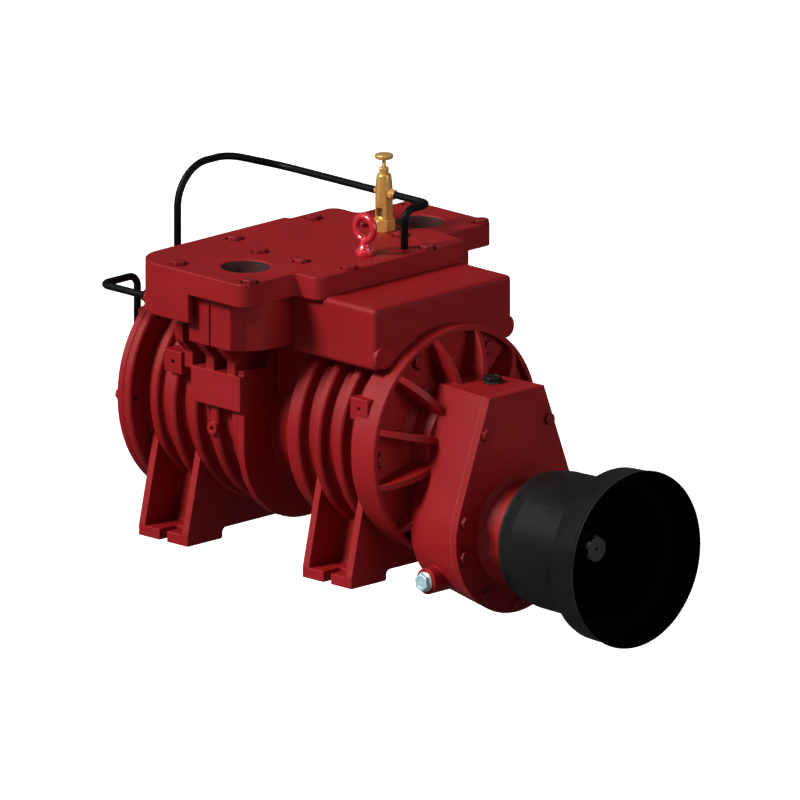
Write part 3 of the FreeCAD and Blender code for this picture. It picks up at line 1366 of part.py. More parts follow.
def key_block(seat, z, gap=0.0):
    """Parallel key on the upper side of a shaft seat, or the slot for it."""
    rear = GEAR_REAR + (GEAR_WIDTH - KEY_LENGTH) / 2
    half = KEY_WIDTH / 2
    low = z + seat - KEY_HEIGHT / 2
    side = half + gap
    return block(rear - gap, rear + KEY_LENGTH + gap, -side, side, low - gap, low + KEY_HEIGHT + gap)


def keyway(seat, z):
    """Keyway broached through a gear."""
    half = KEY_WIDTH / 2 + SEAT_GAP
    top = z + seat + KEY_HEIGHT / 2 + TIP_GAP
    return block(GEAR_REAR - 1, GEAR_REAR + GEAR_WIDTH + 1, -half, half, z, top)


def circlip(seat, x_from, z):
    """Open retaining ring in its groove."""
    inner = seat - CIRCLIP_DEPTH
    ring = tube_x(seat + CIRCLIP_LIP, inner, x_from, x_from + CIRCLIP_WIDTH, z)
    gap = block(x_from - 1, x_from + CIRCLIP_WIDTH + 1, -3, 3, z - seat - CIRCLIP_LIP - 1, z)
    return ring.cut(gap)


def gear_blank(teeth, z, tooth_up):
    """Spur gear with involute flanks, a tooth or a space pointing up as asked."""
    pitch = GEAR_MODULE * teeth / 2
    base = pitch * math.cos(math.radians(20))
    tip = pitch + GEAR_MODULE
    root = pitch - 1.25 * GEAR_MODULE

    def roll(radius):
        pressure = math.acos(min(1.0, base / radius))
        return math.tan(pressure) - pressure

    thickness = math.pi / (2 * teeth) - BACKLASH / (2 * pitch) / 2
    steps = 4
    start = max(base, root)
    flank = [(root, thickness + roll(pitch))] if root < base else []
    for step in range(steps + 1):
        radius = start + (tip - start) * step / steps
        flank.append((radius, thickness + roll(pitch) - roll(radius)))
    points = []
    for tooth in range(teeth):
        middle = 2 * math.pi * tooth / teeth + (0 if tooth_up else math.pi / teeth)
        left = [(radius, middle - angle) for radius, angle in flank]
        right = [(radius, middle + angle) for radius, angle in reversed(flank)]
        for radius, angle in left + right:
            points.append(at(GEAR_REAR, radius * math.sin(angle), z + radius * math.cos(angle)))
    points.append(points[0])
    return Part.Face(Part.makePolygon(points)).extrude(ALONG_X * GEAR_WIDTH)


def pinion_gear():
    """Small gear on the rotor shaft; a tooth space points down at the large gear."""
    blank = gear_blank(PINION_TEETH, AXIS_HEIGHT, PINION_TEETH % 2 == 1)
    bore = rod_x(PINION_SEAT_RADIUS + SEAT_GAP, GEAR_REAR - 1, GEAR_REAR + GEAR_WIDTH + 1, AXIS_HEIGHT)
    return without(blank, [bore, keyway(PINION_SEAT_RADIUS, AXIS_HEIGHT)])


def drive_gear():
    """Large gear on the tractor shaft, dished and pierced; a tooth points up."""
    blank = gear_blank(GEAR_TEETH, PTO_HEIGHT, True)
    rim = GEAR_MODULE * GEAR_TEETH / 2 - 1.25 * GEAR_MODULE - GEAR_RIM
    front = GEAR_REAR + GEAR_WIDTH
    tools = [
        tube_x(rim, GEAR_HUB_RADIUS, GEAR_REAR - 1, GEAR_REAR + GEAR_DISH_DEPTH, PTO_HEIGHT),
        tube_x(rim, GEAR_HUB_RADIUS, front - GEAR_DISH_DEPTH, front + 1, PTO_HEIGHT),
        rod_x(GEAR_SEAT_RADIUS + SEAT_GAP, GEAR_REAR - 1, front + 1, PTO_HEIGHT),
        keyway(GEAR_SEAT_RADIUS, PTO_HEIGHT),
    ]
    hole = rod_x(GEAR_HOLE_RADIUS, GEAR_REAR - 1, front + 1, PTO_HEIGHT + (rim + GEAR_HUB_RADIUS) / 2)
    hole.rotate(at(0, 0, PTO_HEIGHT), ALONG_X, 30)
    tools += turned_copies(hole, 6, PTO_HEIGHT)
    return without(blank, tools)


def pto_shaft():
    """Stepped tractor shaft with a splined end and the groove for the coupling's pin."""
    spline_rear = SPLINE_FRONT - SPLINE_LENGTH
    rear = PTO_REAR_BEARING_REAR - 2
    shoulder = PTO_REAR_BEARING_REAR + PTO_REAR_BEARING[2]
    gear_front = GEAR_REAR + GEAR_WIDTH
    collar_front = gear_front + GEAR_COLLAR_WIDTH
    front_seat = PTO_FRONT_BEARING[0]
    shaft = turned_x(
        [
            (rear, 0, 0),
            (rear, PTO_REAR_BEARING[0], 1),
            (shoulder, PTO_REAR_BEARING[0], 0),
            (shoulder, GEAR_SEAT_RADIUS, 0.5),
            (gear_front, GEAR_SEAT_RADIUS, 0),
            (gear_front, GEAR_COLLAR_RADIUS, 1),
            (collar_front, GEAR_COLLAR_RADIUS, 1),
            (collar_front, front_seat + 4, 2),
            (PTO_FRONT_BEARING_REAR, front_seat + 4, 0),
            (PTO_FRONT_BEARING_REAR, front_seat, 0),
            (spline_rear - 3, front_seat, 0),
            (spline_rear, SPLINE_MAJOR, 0),
            (SPLINE_FRONT - SPLINE_CHAMFER, SPLINE_MAJOR, 0),
            (SPLINE_FRONT, SPLINE_MAJOR - SPLINE_CHAMFER, 0),
            (SPLINE_FRONT, 0, 0),
        ],
        PTO_HEIGHT,
    )
    ring = tube_x(SPLINE_MAJOR + 1, SPLINE_MINOR, spline_rear, SPLINE_FRONT + 1, PTO_HEIGHT)
    half = SPLINE_WIDTH / 2
    teeth = turned_copies(
        block(spline_rear, SPLINE_FRONT + 1, -half, half, PTO_HEIGHT, PTO_HEIGHT + SPLINE_MAJOR + 2),
        SPLINE_COUNT,
        PTO_HEIGHT,
    )
    spaces = without(ring, teeth)
    groove_front = SPLINE_FRONT - SPLINE_GROOVE_FROM_END + SPLINE_GROOVE_WIDTH / 2
    clip_rear = GEAR_REAR - CIRCLIP_WIDTH
    tools = [
        spaces,
        tube_x(SPLINE_MAJOR + 1, SPLINE_MINOR, groove_front - SPLINE_GROOVE_WIDTH, groove_front, PTO_HEIGHT),
        tube_x(
            GEAR_SEAT_RADIUS + 1, GEAR_SEAT_RADIUS - CIRCLIP_DEPTH - SEAT_GAP,
            clip_rear, GEAR_REAR, PTO_HEIGHT,
        ),
        key_block(GEAR_SEAT_RADIUS, PTO_HEIGHT, SEAT_GAP),
        Part.makeCone(2.5, 0.2, 6, at(SPLINE_FRONT, 0, PTO_HEIGHT), -ALONG_X),
    ]
    return without(shaft, tools)


# Shaft guard

def pto_guard():
    """Bell-shaped guard round the tractor shaft, open at its front."""
    base = COVER_BOSS_FRONT
    wall = GUARD_WALL
    step = GUARD_TUBE_FRONT
    mouth = GUARD_MOUTH_RADIUS
    flare = GUARD_MOUTH_FLARE
    shell = turned_x(
        [
            (base, GUARD_INNER, 0),
            (base, GUARD_RADIUS, 2),
            (step, GUARD_RADIUS + 2, 2),
            (step + 3, mouth, 4),
            (GUARD_MOUTH_FRONT, mouth + flare, 1),
            (GUARD_MOUTH_FRONT, mouth + flare - wall, 1),
            (step + 3 + wall, mouth - wall, 2),
            (step + wall, GUARD_RADIUS + 2 - wall, 3),
            (base + wall, GUARD_RADIUS - wall, 2),
            (base + wall, GUARD_INNER, 0),
        ],
        PTO_HEIGHT,
    )
    tools = []
    for y, z in around(GUARD_SCREW_COUNT, GUARD_SCREW_CIRCLE, PTO_HEIGHT, 45):
        tools.append(rod_x(BOLT_M8[0] + SCREW_GAP, base - 1, base + wall + 1, z, y))
    return without(shell, tools)


def guard_screws():
    """Screws inside the guard that fix it to the boss."""
    seat = COVER_BOSS_FRONT + GUARD_WALL
    points = around(GUARD_SCREW_COUNT, GUARD_SCREW_CIRCLE, PTO_HEIGHT, 45)
    return [bolt(BOLT_M8, at(seat, y, z), ALONG_X, GUARD_WALL + GUARD_SCREW_REACH) for y, z in points]


# Drip lubricator

def lubricator_base():
    """Hexagon base screwed into the cover plate."""
    base = hexagon(LUBE_BASE_FLATS, at(LUBE_X, LUBE_Y, COVER_TOP), ALONG_Z, LUBE_BASE_HEIGHT)
    top = COVER_TOP + LUBE_BASE_HEIGHT
    crown = turned_z(
        [
            (COVER_TOP, 0, 0),
            (COVER_TOP, LUBE_BASE_FLATS * 0.62, 0),
            (top - 3, LUBE_BASE_FLATS * 0.62, 0),
            (top, LUBE_BASE_FLATS * 0.5, 0),
            (top, 0, 0),
        ],
        LUBE_X,
        LUBE_Y,
    )
    shank = rod_z(LUBE_SHANK_RADIUS, COVER_TOP - LUBE_SHANK_LENGTH, COVER_TOP + 1, LUBE_X, LUBE_Y)
    neck = rod_z(LUBE_NECK_RADIUS, top - 1, top + LUBE_NECK_HEIGHT, LUBE_X, LUBE_Y)
    return joined([base.common(crown), shank, neck])


def lubricator_body():
    """Hexagon sight body with its bonnet, bored for the needle."""
    bottom = COVER_TOP + LUBE_BASE_HEIGHT + LUBE_NECK_HEIGHT
    top = bottom + LUBE_BODY_HEIGHT
    bar = hexagon(LUBE_BODY_FLATS, at(LUBE_X, LUBE_Y, bottom), ALONG_Z, LUBE_BODY_HEIGHT)
    taper = turned_z(
        [
            (bottom, 0, 0),
            (bottom, LUBE_BODY_FLATS * 0.54, 0),
            (bottom + 2, LUBE_BODY_FLATS * 0.58, 0),
            (top - 16, LUBE_BODY_FLATS * 0.58, 0),
            (top, LUBE_BODY_FLATS * 0.42, 0),
            (top, 0, 0),
        ],
        LUBE_X,
        LUBE_Y,
    )
    bonnet = rod_z(LUBE_BONNET_RADIUS, top - 1, top + LUBE_BONNET_HEIGHT, LUBE_X, LUBE_Y)
    body = joined([bar.common(taper), bonnet])
    bore_bottom = top + LUBE_BONNET_HEIGHT - LUBE_STEM_REACH - 1
    bore = rod_z(LUBE_STEM_RADIUS + RUN_GAP, bore_bottom, top + LUBE_BONNET_HEIGHT + 1, LUBE_X, LUBE_Y)
    return body.cut(bore)


def lubricator_knob():
    """Notched thumb knob with the needle below it."""
    seat = COVER_TOP + LUBE_BASE_HEIGHT + LUBE_NECK_HEIGHT + LUBE_BODY_HEIGHT + LUBE_BONNET_HEIGHT
    under = seat + LUBE_STEM_SHOW
    top = under + LUBE_KNOB_HEIGHT
    knob = turned_z(
        [
            (seat - LUBE_STEM_REACH, 0, 0),
            (seat - LUBE_STEM_REACH, LUBE_STEM_RADIUS, 0),
            (under - 2, LUBE_STEM_RADIUS, 0),
            (under, LUBE_STEM_RADIUS + 3, 0),
            (under + 1, LUBE_KNOB_RADIUS, 1),
            (top, LUBE_KNOB_RADIUS - 0.5, 1.5),
            (top, 0, 0),
        ],
        LUBE_X,
        LUBE_Y,
    )
    notches = []
    for step in range(LUBE_KNURLS):
        turn = math.radians(FULL_TURN * step / LUBE_KNURLS)
        x = LUBE_X + (LUBE_KNOB_RADIUS + 0.7) * math.cos(turn)
        y = LUBE_Y + (LUBE_KNOB_RADIUS + 0.7) * math.sin(turn)
        notches.append(rod_z(1.4, under - 1, top + 1, x, y))
    return without(knob, notches)


def lubricator_nipples():
    """Pipe nipples on both sides of the lubricator."""
    nipples = []
    flat = LUBE_BODY_FLATS / 2
    for side in (-1, 1):
        outward = ALONG_X * side
        start = at(LUBE_X, LUBE_Y, PIPE_LEVEL) + outward * (flat + SEAT_GAP)
        nut = hexagon(NIPPLE_RADIUS * 2, start, outward, NIPPLE_LENGTH)
        cone = Part.makeCone(NIPPLE_RADIUS * 1.15, NIPPLE_RADIUS * 0.9, NIPPLE_LENGTH, start, outward)
        hole = Part.makeCylinder(PIPE_RADIUS + SEAT_GAP, NIPPLE_LENGTH - 3, start + outward * 4, outward)
        nipples.append(nut.common(cone).cut(hole))
    return nipples


# Oil pipes

def pipe_along(points, bends):
    """Round pipe along straight runs with tangent bends."""
    edges = []
    here = points[0]
    for index in range(1, len(points) - 1):
        corner = points[index]
        radius = bends[index - 1]
        back = (points[index - 1] - corner).normalize()
        ahead = (points[index + 1] - corner).normalize()
        half = back.getAngle(ahead) / 2
        reach = radius / math.tan(half)
        middle = (back + ahead).normalize()
        start = corner + back * reach
        end = corner + ahead * reach
        crest = corner + middle * (radius / math.sin(half) - radius)
        edges.append(Part.LineSegment(here, start).toShape())
        edges.append(Part.Arc(start, crest, end).toShape())
        here = end
    edges.append(Part.LineSegment(here, points[-1]).toShape())
    path = Part.Wire(edges)
    direction = (points[1] - points[0]).normalize()
    circle = Part.Wire([Part.makeCircle(PIPE_RADIUS, points[0], direction)])
    return path.makePipeShell([circle], True, False)


def oil_pipe_front():
    """Short pipe from the lubricator round the front port and down into the plate."""
    start = LUBE_X + LUBE_BODY_FLATS / 2 + 5
    points = [
        at(start, LUBE_Y, PIPE_LEVEL),
        at(FRONT_PIPE_X, LUBE_Y, PIPE_LEVEL),
        at(FRONT_PIPE_X, FRONT_PIPE_Y, PIPE_LEVEL),
        at(FRONT_PIPE_X, FRONT_PIPE_Y, COVER_TOP - PIPE_DEPTH),
    ]
    return pipe_along(points, [PIPE_BEND, PIPE_BEND])


def long_pipe_foot():
    """Height where the long pipe enters the rim of the rear cover."""
    return AXIS_HEIGHT + math.sqrt(REAR_FLANGE_RADIUS ** 2 - LONG_PIPE_Y ** 2) - PIPE_DEPTH


def oil_pipe_long():
    """Long pipe from the lubricator over the plate to the rear cover."""
    start = LUBE_X - LUBE_BODY_FLATS / 2 - 5
    points = [
        at(start, LUBE_Y, PIPE_LEVEL),
        at(LONG_PIPE_TURN_X, LUBE_Y, PIPE_LEVEL),
        at(LONG_PIPE_X, LONG_PIPE_TURN_Y, LONG_PIPE_TOP),
        at(LONG_PIPE_X, LONG_PIPE_Y, LONG_PIPE_TOP),
        at(LONG_PIPE_X, LONG_PIPE_Y, long_pipe_foot()),
    ]
    return pipe_along(points, [LONG_PIPE_BEND] * 3)


def oil_pipe_side():
    """Looped pipe from the duct block round to the back of the rear cover."""
    points = [
        at(SIDE_PIPE_BOSS_REAR + PIPE_DEPTH, SIDE_PIPE_Y, SIDE_PIPE_Z),
        at(SIDE_PIPE_X, SIDE_PIPE_Y, SIDE_PIPE_Z),
        at(SIDE_PIPE_X, SIDE_PIPE_TURN_Y, SIDE_PIPE_Z),
        at(SIDE_PIPE_X, SIDE_PIPE_TURN_Y, SIDE_PIPE_LOW),
        at(REAR_BACK + PIPE_DEPTH, SIDE_PIPE_TURN_Y, SIDE_PIPE_LOW),
    ]
    return pipe_along(points, [PIPE_BEND, PIPE_BEND, PIPE_BEND - 4])


def pipe_fittings():
    """Compression nuts at both ends of the side pipe."""
    fittings = []
    spots = [
        (at(SIDE_PIPE_BOSS_REAR, SIDE_PIPE_Y, SIDE_PIPE_Z), -ALONG_X),
        (at(REAR_BACK, SIDE_PIPE_TURN_Y, SIDE_PIPE_LOW), -ALONG_X),
    ]
    for seat, direction in spots:
        nut = hexagon(FITTING_FLATS, seat, direction, FITTING_HEIGHT)
        crown = Part.makeCone(FITTING_FLATS * 0.6, FITTING_FLATS * 0.42, FITTING_HEIGHT, seat, direction)
        hole = Part.makeCylinder(PIPE_RADIUS + SEAT_GAP, FITTING_HEIGHT + 2, seat - direction, direction)
        fittings.append(nut.common(crown).cut(hole))
    return fittings


def build():
    """Every node of the pump by name."""
    rear_race = REAR_BEARING_FRONT - ROTOR_BEARING[2]
    front_race = FRONT_BEARING_REAR
    pto_rear = PTO_REAR_BEARING_REAR
    pto_front = PTO_FRONT_BEARING_REAR
    rear_seal = CHAMBER_REAR - ROTOR_SEAL_INSET - ROTOR_SEAL[1]
    front_seal = CHAMBER_FRONT + ROTOR_SEAL_INSET
    outer_seal = COVER_BOSS_FRONT - PTO_SEAL_INSET - PTO_SEAL[1]
    return {
        "pump_body": pump_body(),
        "rear_feet": foot_saddle(-FOOT_SPACING / 2),
        "front_feet": foot_saddle(FOOT_SPACING / 2),
        "manifold_cover": manifold_cover(),
        "manifold_gasket": manifold_gasket(),
        "manifold_bolts": manifold_bolts(),
        "eye_bolt": eye_bolt(),
        "rear_cover": rear_cover(),
        "rear_gasket": rear_gasket(),
        "rear_cover_bolts": rear_cover_bolts(),
        "rear_bearing_cap": rear_bearing_cap(),
        "rear_cap_screws": rear_cap_screws(),
        "rear_bearing_outer": outer_race(ROTOR_BEARING, rear_race, AXIS_HEIGHT, OUTER_RACEWAY),
        "rear_bearing_inner": inner_race(ROTOR_BEARING, rear_race, AXIS_HEIGHT, INNER_RACEWAY),
        "rear_bearing_rollers": rollers(rear_race),
        "rear_rotor_seal": lip_seal(ROTOR_SEAL, rear_seal, AXIS_HEIGHT, ROTOR_SHAFT_RADIUS),
        "front_housing": front_housing(),
        "front_gasket": front_gasket(),
        "front_flange_bolts": front_flange_bolts(),
        "front_bearing_outer": outer_race(ROTOR_BEARING, front_race, AXIS_HEIGHT, OUTER_RACEWAY),
        "front_bearing_inner": inner_race(ROTOR_BEARING, front_race, AXIS_HEIGHT, INNER_RACEWAY),
        "front_bearing_rollers": rollers(front_race),
        "front_rotor_seal": lip_seal(ROTOR_SEAL, front_seal, AXIS_HEIGHT, ROTOR_SHAFT_RADIUS),
        "gearbox_cover": gearbox_cover(),
        "gearbox_gasket": gearbox_gasket(),
        "gearbox_cover_bolts": gearbox_cover_bolts(),
        "pto_rear_bearing_outer": sealed_outer(PTO_REAR_BEARING, pto_rear, PTO_HEIGHT, PTO_REAR_BALL),
        "pto_rear_bearing_inner": sealed_inner(PTO_REAR_BEARING, pto_rear, PTO_HEIGHT, PTO_REAR_BALL),
        "pto_rear_bearing_balls": balls(PTO_REAR_BEARING, pto_rear, PTO_HEIGHT, PTO_REAR_BALL),
        "pto_rear_bearing_cage": ball_cage(PTO_REAR_BEARING, pto_rear, PTO_HEIGHT, PTO_REAR_BALL),
        "pto_front_bearing_outer": sealed_outer(PTO_FRONT_BEARING, pto_front, PTO_HEIGHT, PTO_FRONT_BALL),
        "pto_front_bearing_inner": sealed_inner(PTO_FRONT_BEARING, pto_front, PTO_HEIGHT, PTO_FRONT_BALL),
        "pto_front_bearing_balls": balls(PTO_FRONT_BEARING, pto_front, PTO_HEIGHT, PTO_FRONT_BALL),
        "pto_front_bearing_cage": ball_cage(PTO_FRONT_BEARING, pto_front, PTO_HEIGHT, PTO_FRONT_BALL),
        "pto_seal": lip_seal(PTO_SEAL, outer_seal, PTO_HEIGHT, PTO_FRONT_BEARING[0]),
        "drain_plug": drain_plug(),
        "drain_washer": drain_washer(),
        "filler_plug": filler_plug(),
        "pto_guard": pto_guard(),
        "guard_screws": guard_screws(),
        "rotor": rotor(),
        "rotor_vanes": rotor_vanes(),
        "rotor_shaft": rotor_shaft(),
        "pinion_gear": pinion_gear(),
        "pinion_key": key_block(PINION_SEAT_RADIUS, AXIS_HEIGHT),
        "pinion_circlip": circlip(PINION_SEAT_RADIUS, GEAR_REAR + GEAR_WIDTH, AXIS_HEIGHT),
        "pto_shaft": pto_shaft(),
        "drive_gear": drive_gear(),
        "drive_gear_key": key_block(GEAR_SEAT_RADIUS, PTO_HEIGHT),
        "drive_gear_circlip": circlip(GEAR_SEAT_RADIUS, GEAR_REAR - CIRCLIP_WIDTH, PTO_HEIGHT),
        "lubricator_base": lubricator_base(),
        "lubricator_body": lubricator_body(),
        "lubricator_knob": lubricator_knob(),
        "lubricator_nipples": lubricator_nipples(),
        "oil_pipe_front": oil_pipe_front(),
        "oil_pipe_long": oil_pipe_long(),
        "oil_pipe_side": oil_pipe_side(),
        "pipe_fittings": pipe_fittings(),
    }


os.makedirs("parts", exist_ok=True)
for name, shape in build().items():
    if isinstance(shape, list):
        shape = Part.makeCompound(shape)
    shape.exportStep(os.path.join("parts", name + ".step"))
    print(name, "solids", len(shape.Solids), "valid", shape.isValid(), "volume", round(shape.Volume))
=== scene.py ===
# %% [markdown]
# # A rotary vane vacuum pump, dressed for its portrait
# The castings, gears and covers of this pump come in as finished solids. What is left to
# do is what a paint shop and a fitter do: paint and polish every surface, and put in the
# small turned and threaded pieces that a drawing of the castings leaves plain.

# %% Load the pump
import json
import math

import bmesh
import bpy
from mathutils import Matrix, Vector


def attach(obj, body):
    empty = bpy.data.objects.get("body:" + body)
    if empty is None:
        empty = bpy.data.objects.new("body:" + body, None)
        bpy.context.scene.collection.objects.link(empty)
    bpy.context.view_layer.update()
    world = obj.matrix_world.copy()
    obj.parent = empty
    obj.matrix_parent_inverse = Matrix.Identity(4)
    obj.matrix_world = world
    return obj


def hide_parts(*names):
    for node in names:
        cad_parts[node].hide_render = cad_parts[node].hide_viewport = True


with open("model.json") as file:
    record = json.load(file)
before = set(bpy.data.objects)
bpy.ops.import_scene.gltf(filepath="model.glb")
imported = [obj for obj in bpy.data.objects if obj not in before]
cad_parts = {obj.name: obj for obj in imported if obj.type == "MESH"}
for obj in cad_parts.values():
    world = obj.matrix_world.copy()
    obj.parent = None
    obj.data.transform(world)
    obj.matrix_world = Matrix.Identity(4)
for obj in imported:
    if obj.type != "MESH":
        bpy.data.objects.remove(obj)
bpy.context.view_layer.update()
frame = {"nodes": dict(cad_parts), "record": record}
parts = frame["nodes"]

# %% [markdown]
# ## The camera
# The photograph has no vanishing lines: edges that run the same way stay parallel. So the
# camera is orthographic. It stands at the pump's near front corner and looks down by
# fifteen degrees. Its place is the sum of three directions: across the picture, up the
# picture, and out of it.

# %% Camera
AZIMUTH = math.radians(45)
ELEVATION = math.radians(15)
PICTURE_WIDTH = 0.96
ACROSS = Vector((math.cos(AZIMUTH), math.sin(AZIMUTH), 0))
UPWARDS = Vector((
    -math.sin(AZIMUTH) * math.sin(ELEVATION),
    math.cos(AZIMUTH) * math.sin(ELEVATION),
    math.cos(ELEVATION),
))
OUTWARDS = ACROSS.cross(UPWARDS)
AIM_ACROSS = 0.0896
AIM_UP = 0.1695
AIM = ACROSS * AIM_ACROSS + UPWARDS * AIM_UP
STEP_BACK = 3
FARTHEST_SEEN = 20


def stand_camera():
    lens = bpy.data.cameras.new("studio_camera")
    lens.type = "ORTHO"
    lens.ortho_scale = PICTURE_WIDTH
    lens.clip_end = FARTHEST_SEEN
    camera = bpy.data.objects.new("studio_camera", lens)
    turn = Matrix((ACROSS, UPWARDS, OUTWARDS)).transposed().to_4x4()
    camera.matrix_world = Matrix.Translation(AIM + OUTWARDS * STEP_BACK) @ turn
    bpy.context.collection.objects.link(camera)
    bpy.context.scene.camera = camera
    return camera


camera = stand_camera()
print("camera at", camera.matrix_world.translation)

# %% [markdown]
# ## Shader maths as sentences
# A finish is easier to read as a formula than as a web of boxes. `Reading` stands for a
# number that changes over a surface, and the usual signs between two readings add the
# Math nodes. `Finish` owns one material and adds every other kind of node by one method.

# %% Readings and finishes


class Reading:
    """A number that changes over a surface."""

    def __init__(self, finish, socket):
        self.finish = finish
        self.socket = socket

    def maths(self, operation, first, second):
        return self.finish.node("ShaderNodeMath", {"operation": operation}, [first, second])

    def __add__(self, other):
        return self.maths("ADD", self, other)

    def __radd__(self, other):
        return self.maths("ADD", other, self)

    def __sub__(self, other):
        return self.maths("SUBTRACT", self, other)

    def __rsub__(self, other):
        return self.maths("SUBTRACT", other, self)

    def __mul__(self, other):
        return self.maths("MULTIPLY", self, other)

    def __rmul__(self, other):
        return self.maths("MULTIPLY", other, self)

    def spread(self, low, high):
        """Stretches low to high over 0 to 1, softly at both ends."""
        settings = {"interpolation_type": "SMOOTHSTEP"}
        feeds = {"Value": self, "From Min": low, "From Max": high}
        return self.finish.node("ShaderNodeMapRange", settings, feeds)


class Finish:
    """One material under construction."""

    def __init__(self, name, **surface):
        self.material = bpy.data.materials.new(name)
        self.material.use_nodes = True
        self.tree = self.material.node_tree
        self.shader = self.tree.nodes["Principled BSDF"]
        for socket, value in surface.items():
            self.shader.inputs[socket.replace("_", " ")].default_value = value

    def node(self, kind, settings=None, feeds=(), output=0):
        made = self.tree.nodes.new(kind)
        for name, value in (settings or {}).items():
            setattr(made, name, value)
        named = feeds.items() if isinstance(feeds, dict) else enumerate(feeds)
        for socket, value in named:
            self.feed(made.inputs[socket], value)
        return Reading(self, made.outputs[output])

    def feed(self, socket, value):
        if isinstance(value, Reading):
            self.tree.links.new(value.socket, socket)
        else:
            socket.default_value = value

    def place(self):
        return self.node("ShaderNodeTexCoord", output="Object")

    def stretched(self, scale):
        return self.node("ShaderNodeMapping", feeds={"Vector": self.place(), "Scale": scale})

    def noise(self, scale, detail=2.0, where=None):
        feeds = {"Vector": where or self.place(), "Scale": scale, "Detail": detail}
        return self.node("ShaderNodeTexNoise", feeds=feeds, output="Fac")

    def blend(self, share, first, second):
        """A colour between two colours."""
        mixed = self.node("ShaderNodeMix", {"data_type": "RGBA"}, {"Factor": share}, output="Result")
        mix = mixed.socket.node
        colours = [socket for socket in mix.inputs if socket.type == "RGBA"]
        for socket, colour in zip(colours, (first, second)):
            self.feed(socket, colour if isinstance(colour, Reading) else (*colour, 1))
        return Reading(self, [socket for socket in mix.outputs if socket.type == "RGBA"][0])

    def rounded(self, radius):
        """Normal that runs round each sharp edge as if the edge were rounded."""
        return self.node("ShaderNodeBevel", {"samples": 6}, {"Radius": radius})

    def edges(self, normal):
        """Near 1 along the rounded edges and 0 on the flats."""
        flat = self.node("ShaderNodeNewGeometry", output="Normal")
        match = self.node("ShaderNodeVectorMath", {"operation": "DOT_PRODUCT"}, [normal, flat], "Value")
        return (1 - match).spread(0.004, 0.12)

    def relief(self, height, strength, distance, normal=None):
        feeds = {"Strength": strength, "Distance": distance, "Height": height}
        if normal:
            feeds["Normal"] = normal
        return self.node("ShaderNodeBump", feeds=feeds)

    def surface(self, **feeds):
        for socket, value in feeds.items():
            self.feed(self.shader.inputs[socket.replace("_", " ")], value)
        return self.material


print("readings and finishes are ready")

# %% [markdown]
# ## Paint over cast iron
# The castings are sprayed in one dark red. A sand-cast skin under paint is never quite
# even: the coat pools a little in hollows and has a fine orange-peel ripple. One noise
# gives the slow drift of colour and gloss, another the ripple, and the rounded normal gives
# every casting edge the soft shine that real radii have. Along the edges the red is also
# painted lighter, a painted highlight. A noise's scale is about the number of its patches
# in a metre, so a small scale drifts and a large one ripples. The bolts have a duller coat
# of the same red, and the lifting eye a brighter, lacquered one.

# %% Red casting paint
EDGE_RADIUS = 0.0022


def casting_paint(name, deep, bright, rough, ripple, shine=0.22, lacquer=0.05, lacquer_rough=0.3):
    """Paint that drifts from a deep to a bright red; lacquer is the weight of its clear coat."""
    paint = Finish(name, Coat_Roughness=lacquer_rough, IOR=1.5, Specular_IOR_Level=shine)
    round_edge = paint.rounded(EDGE_RADIUS)
    edge = paint.edges(round_edge)
    drift = paint.noise(9.0, 4.0).spread(0.3, 0.7)
    spots = paint.noise(140.0, 3.0).spread(0.62, 0.74)
    colour = paint.blend(drift, deep, bright)
    # The edge colour is a painted highlight: a lighter red along the rounded edges.
    painted_edge_highlight = tuple(min(1.0, 1.8 * c + 0.003) for c in bright)
    colour = paint.blend(edge * 0.45, colour, painted_edge_highlight)
    colour = paint.blend(spots * 0.12, colour, tuple(0.7 * c for c in deep))
    peel = paint.noise(ripple, 3.0) + 0.35 * paint.noise(70.0, 2.0)
    skin = paint.relief(peel, 0.16, 0.0006, round_edge)
    roughness = rough + 0.1 * drift + 0.12 * spots - 0.1 * edge
    coat = lacquer + 0.15 * edge
    return paint.surface(Base_Color=colour, Roughness=roughness, Coat_Weight=coat, Normal=skin)


red_paint = casting_paint(
    "red_casting_paint", deep=(0.235, 0.0050, 0.0068), bright=(0.28, 0.0066, 0.0086), rough=0.5, ripple=420.0
)
bolt_paint = casting_paint(
    "red_bolt_paint", deep=(0.17, 0.006, 0.0075), bright=(0.23, 0.008, 0.0095), rough=0.42, ripple=900.0
)
eye_paint = casting_paint(
    "bright_eye_paint", deep=(0.50, 0.012, 0.024), bright=(0.62, 0.018, 0.032), rough=0.16, ripple=700.0,
    shine=0.6, lacquer=0.8, lacquer_rough=0.07,
)
print("paints", [m.name for m in (red_paint, bolt_paint, eye_paint)])

# %% [markdown]
# ## Brass, steel and copper
# Turned metal shows the tool: rings of very fine grooves about the axis it was turned on,
# and a little tarnish where fingers and oil reach. Stretching one noise hard along a
# direction gives grooves, and a slower noise gives the tarnish. Brass and zinc are given
# less than the full share of metal, because in a studio with so little to mirror they
# would turn black.

# %% Metals
TURNED_RADIUS = 0.0008
UP_RINGS = (0.15, 0.15, 1.0)
SHAFT_RINGS = (1.0, 0.15, 0.15)
DRAWN = (0.4, 1.0, 0.4)


def turned_metal(name, clean, dull, rough, grooves, groove_scale=900.0, metallic=1.0):
    """Metal with grooves that run where the three stretches of the noise are small."""
    metal = Finish(name, Metallic=metallic)
    round_edge = metal.rounded(TURNED_RADIUS)
    edge = metal.edges(round_edge)
    tarnish = metal.noise(55.0, 4.0).spread(0.42, 0.75)
    lathe = metal.noise(groove_scale, 2.0, metal.stretched(grooves))
    colour = metal.blend(tarnish * 0.7, clean, dull)
    bright = tuple(min(1.0, 1.15 * c) for c in clean)
    colour = metal.blend(edge * 0.5, colour, bright)
    wear = metal.relief(lathe, 0.1, 0.0002, round_edge)
    roughness = rough + 0.16 * tarnish + 0.08 * lathe - 0.06 * edge
    return metal.surface(Base_Color=colour, Roughness=roughness, Normal=wear)


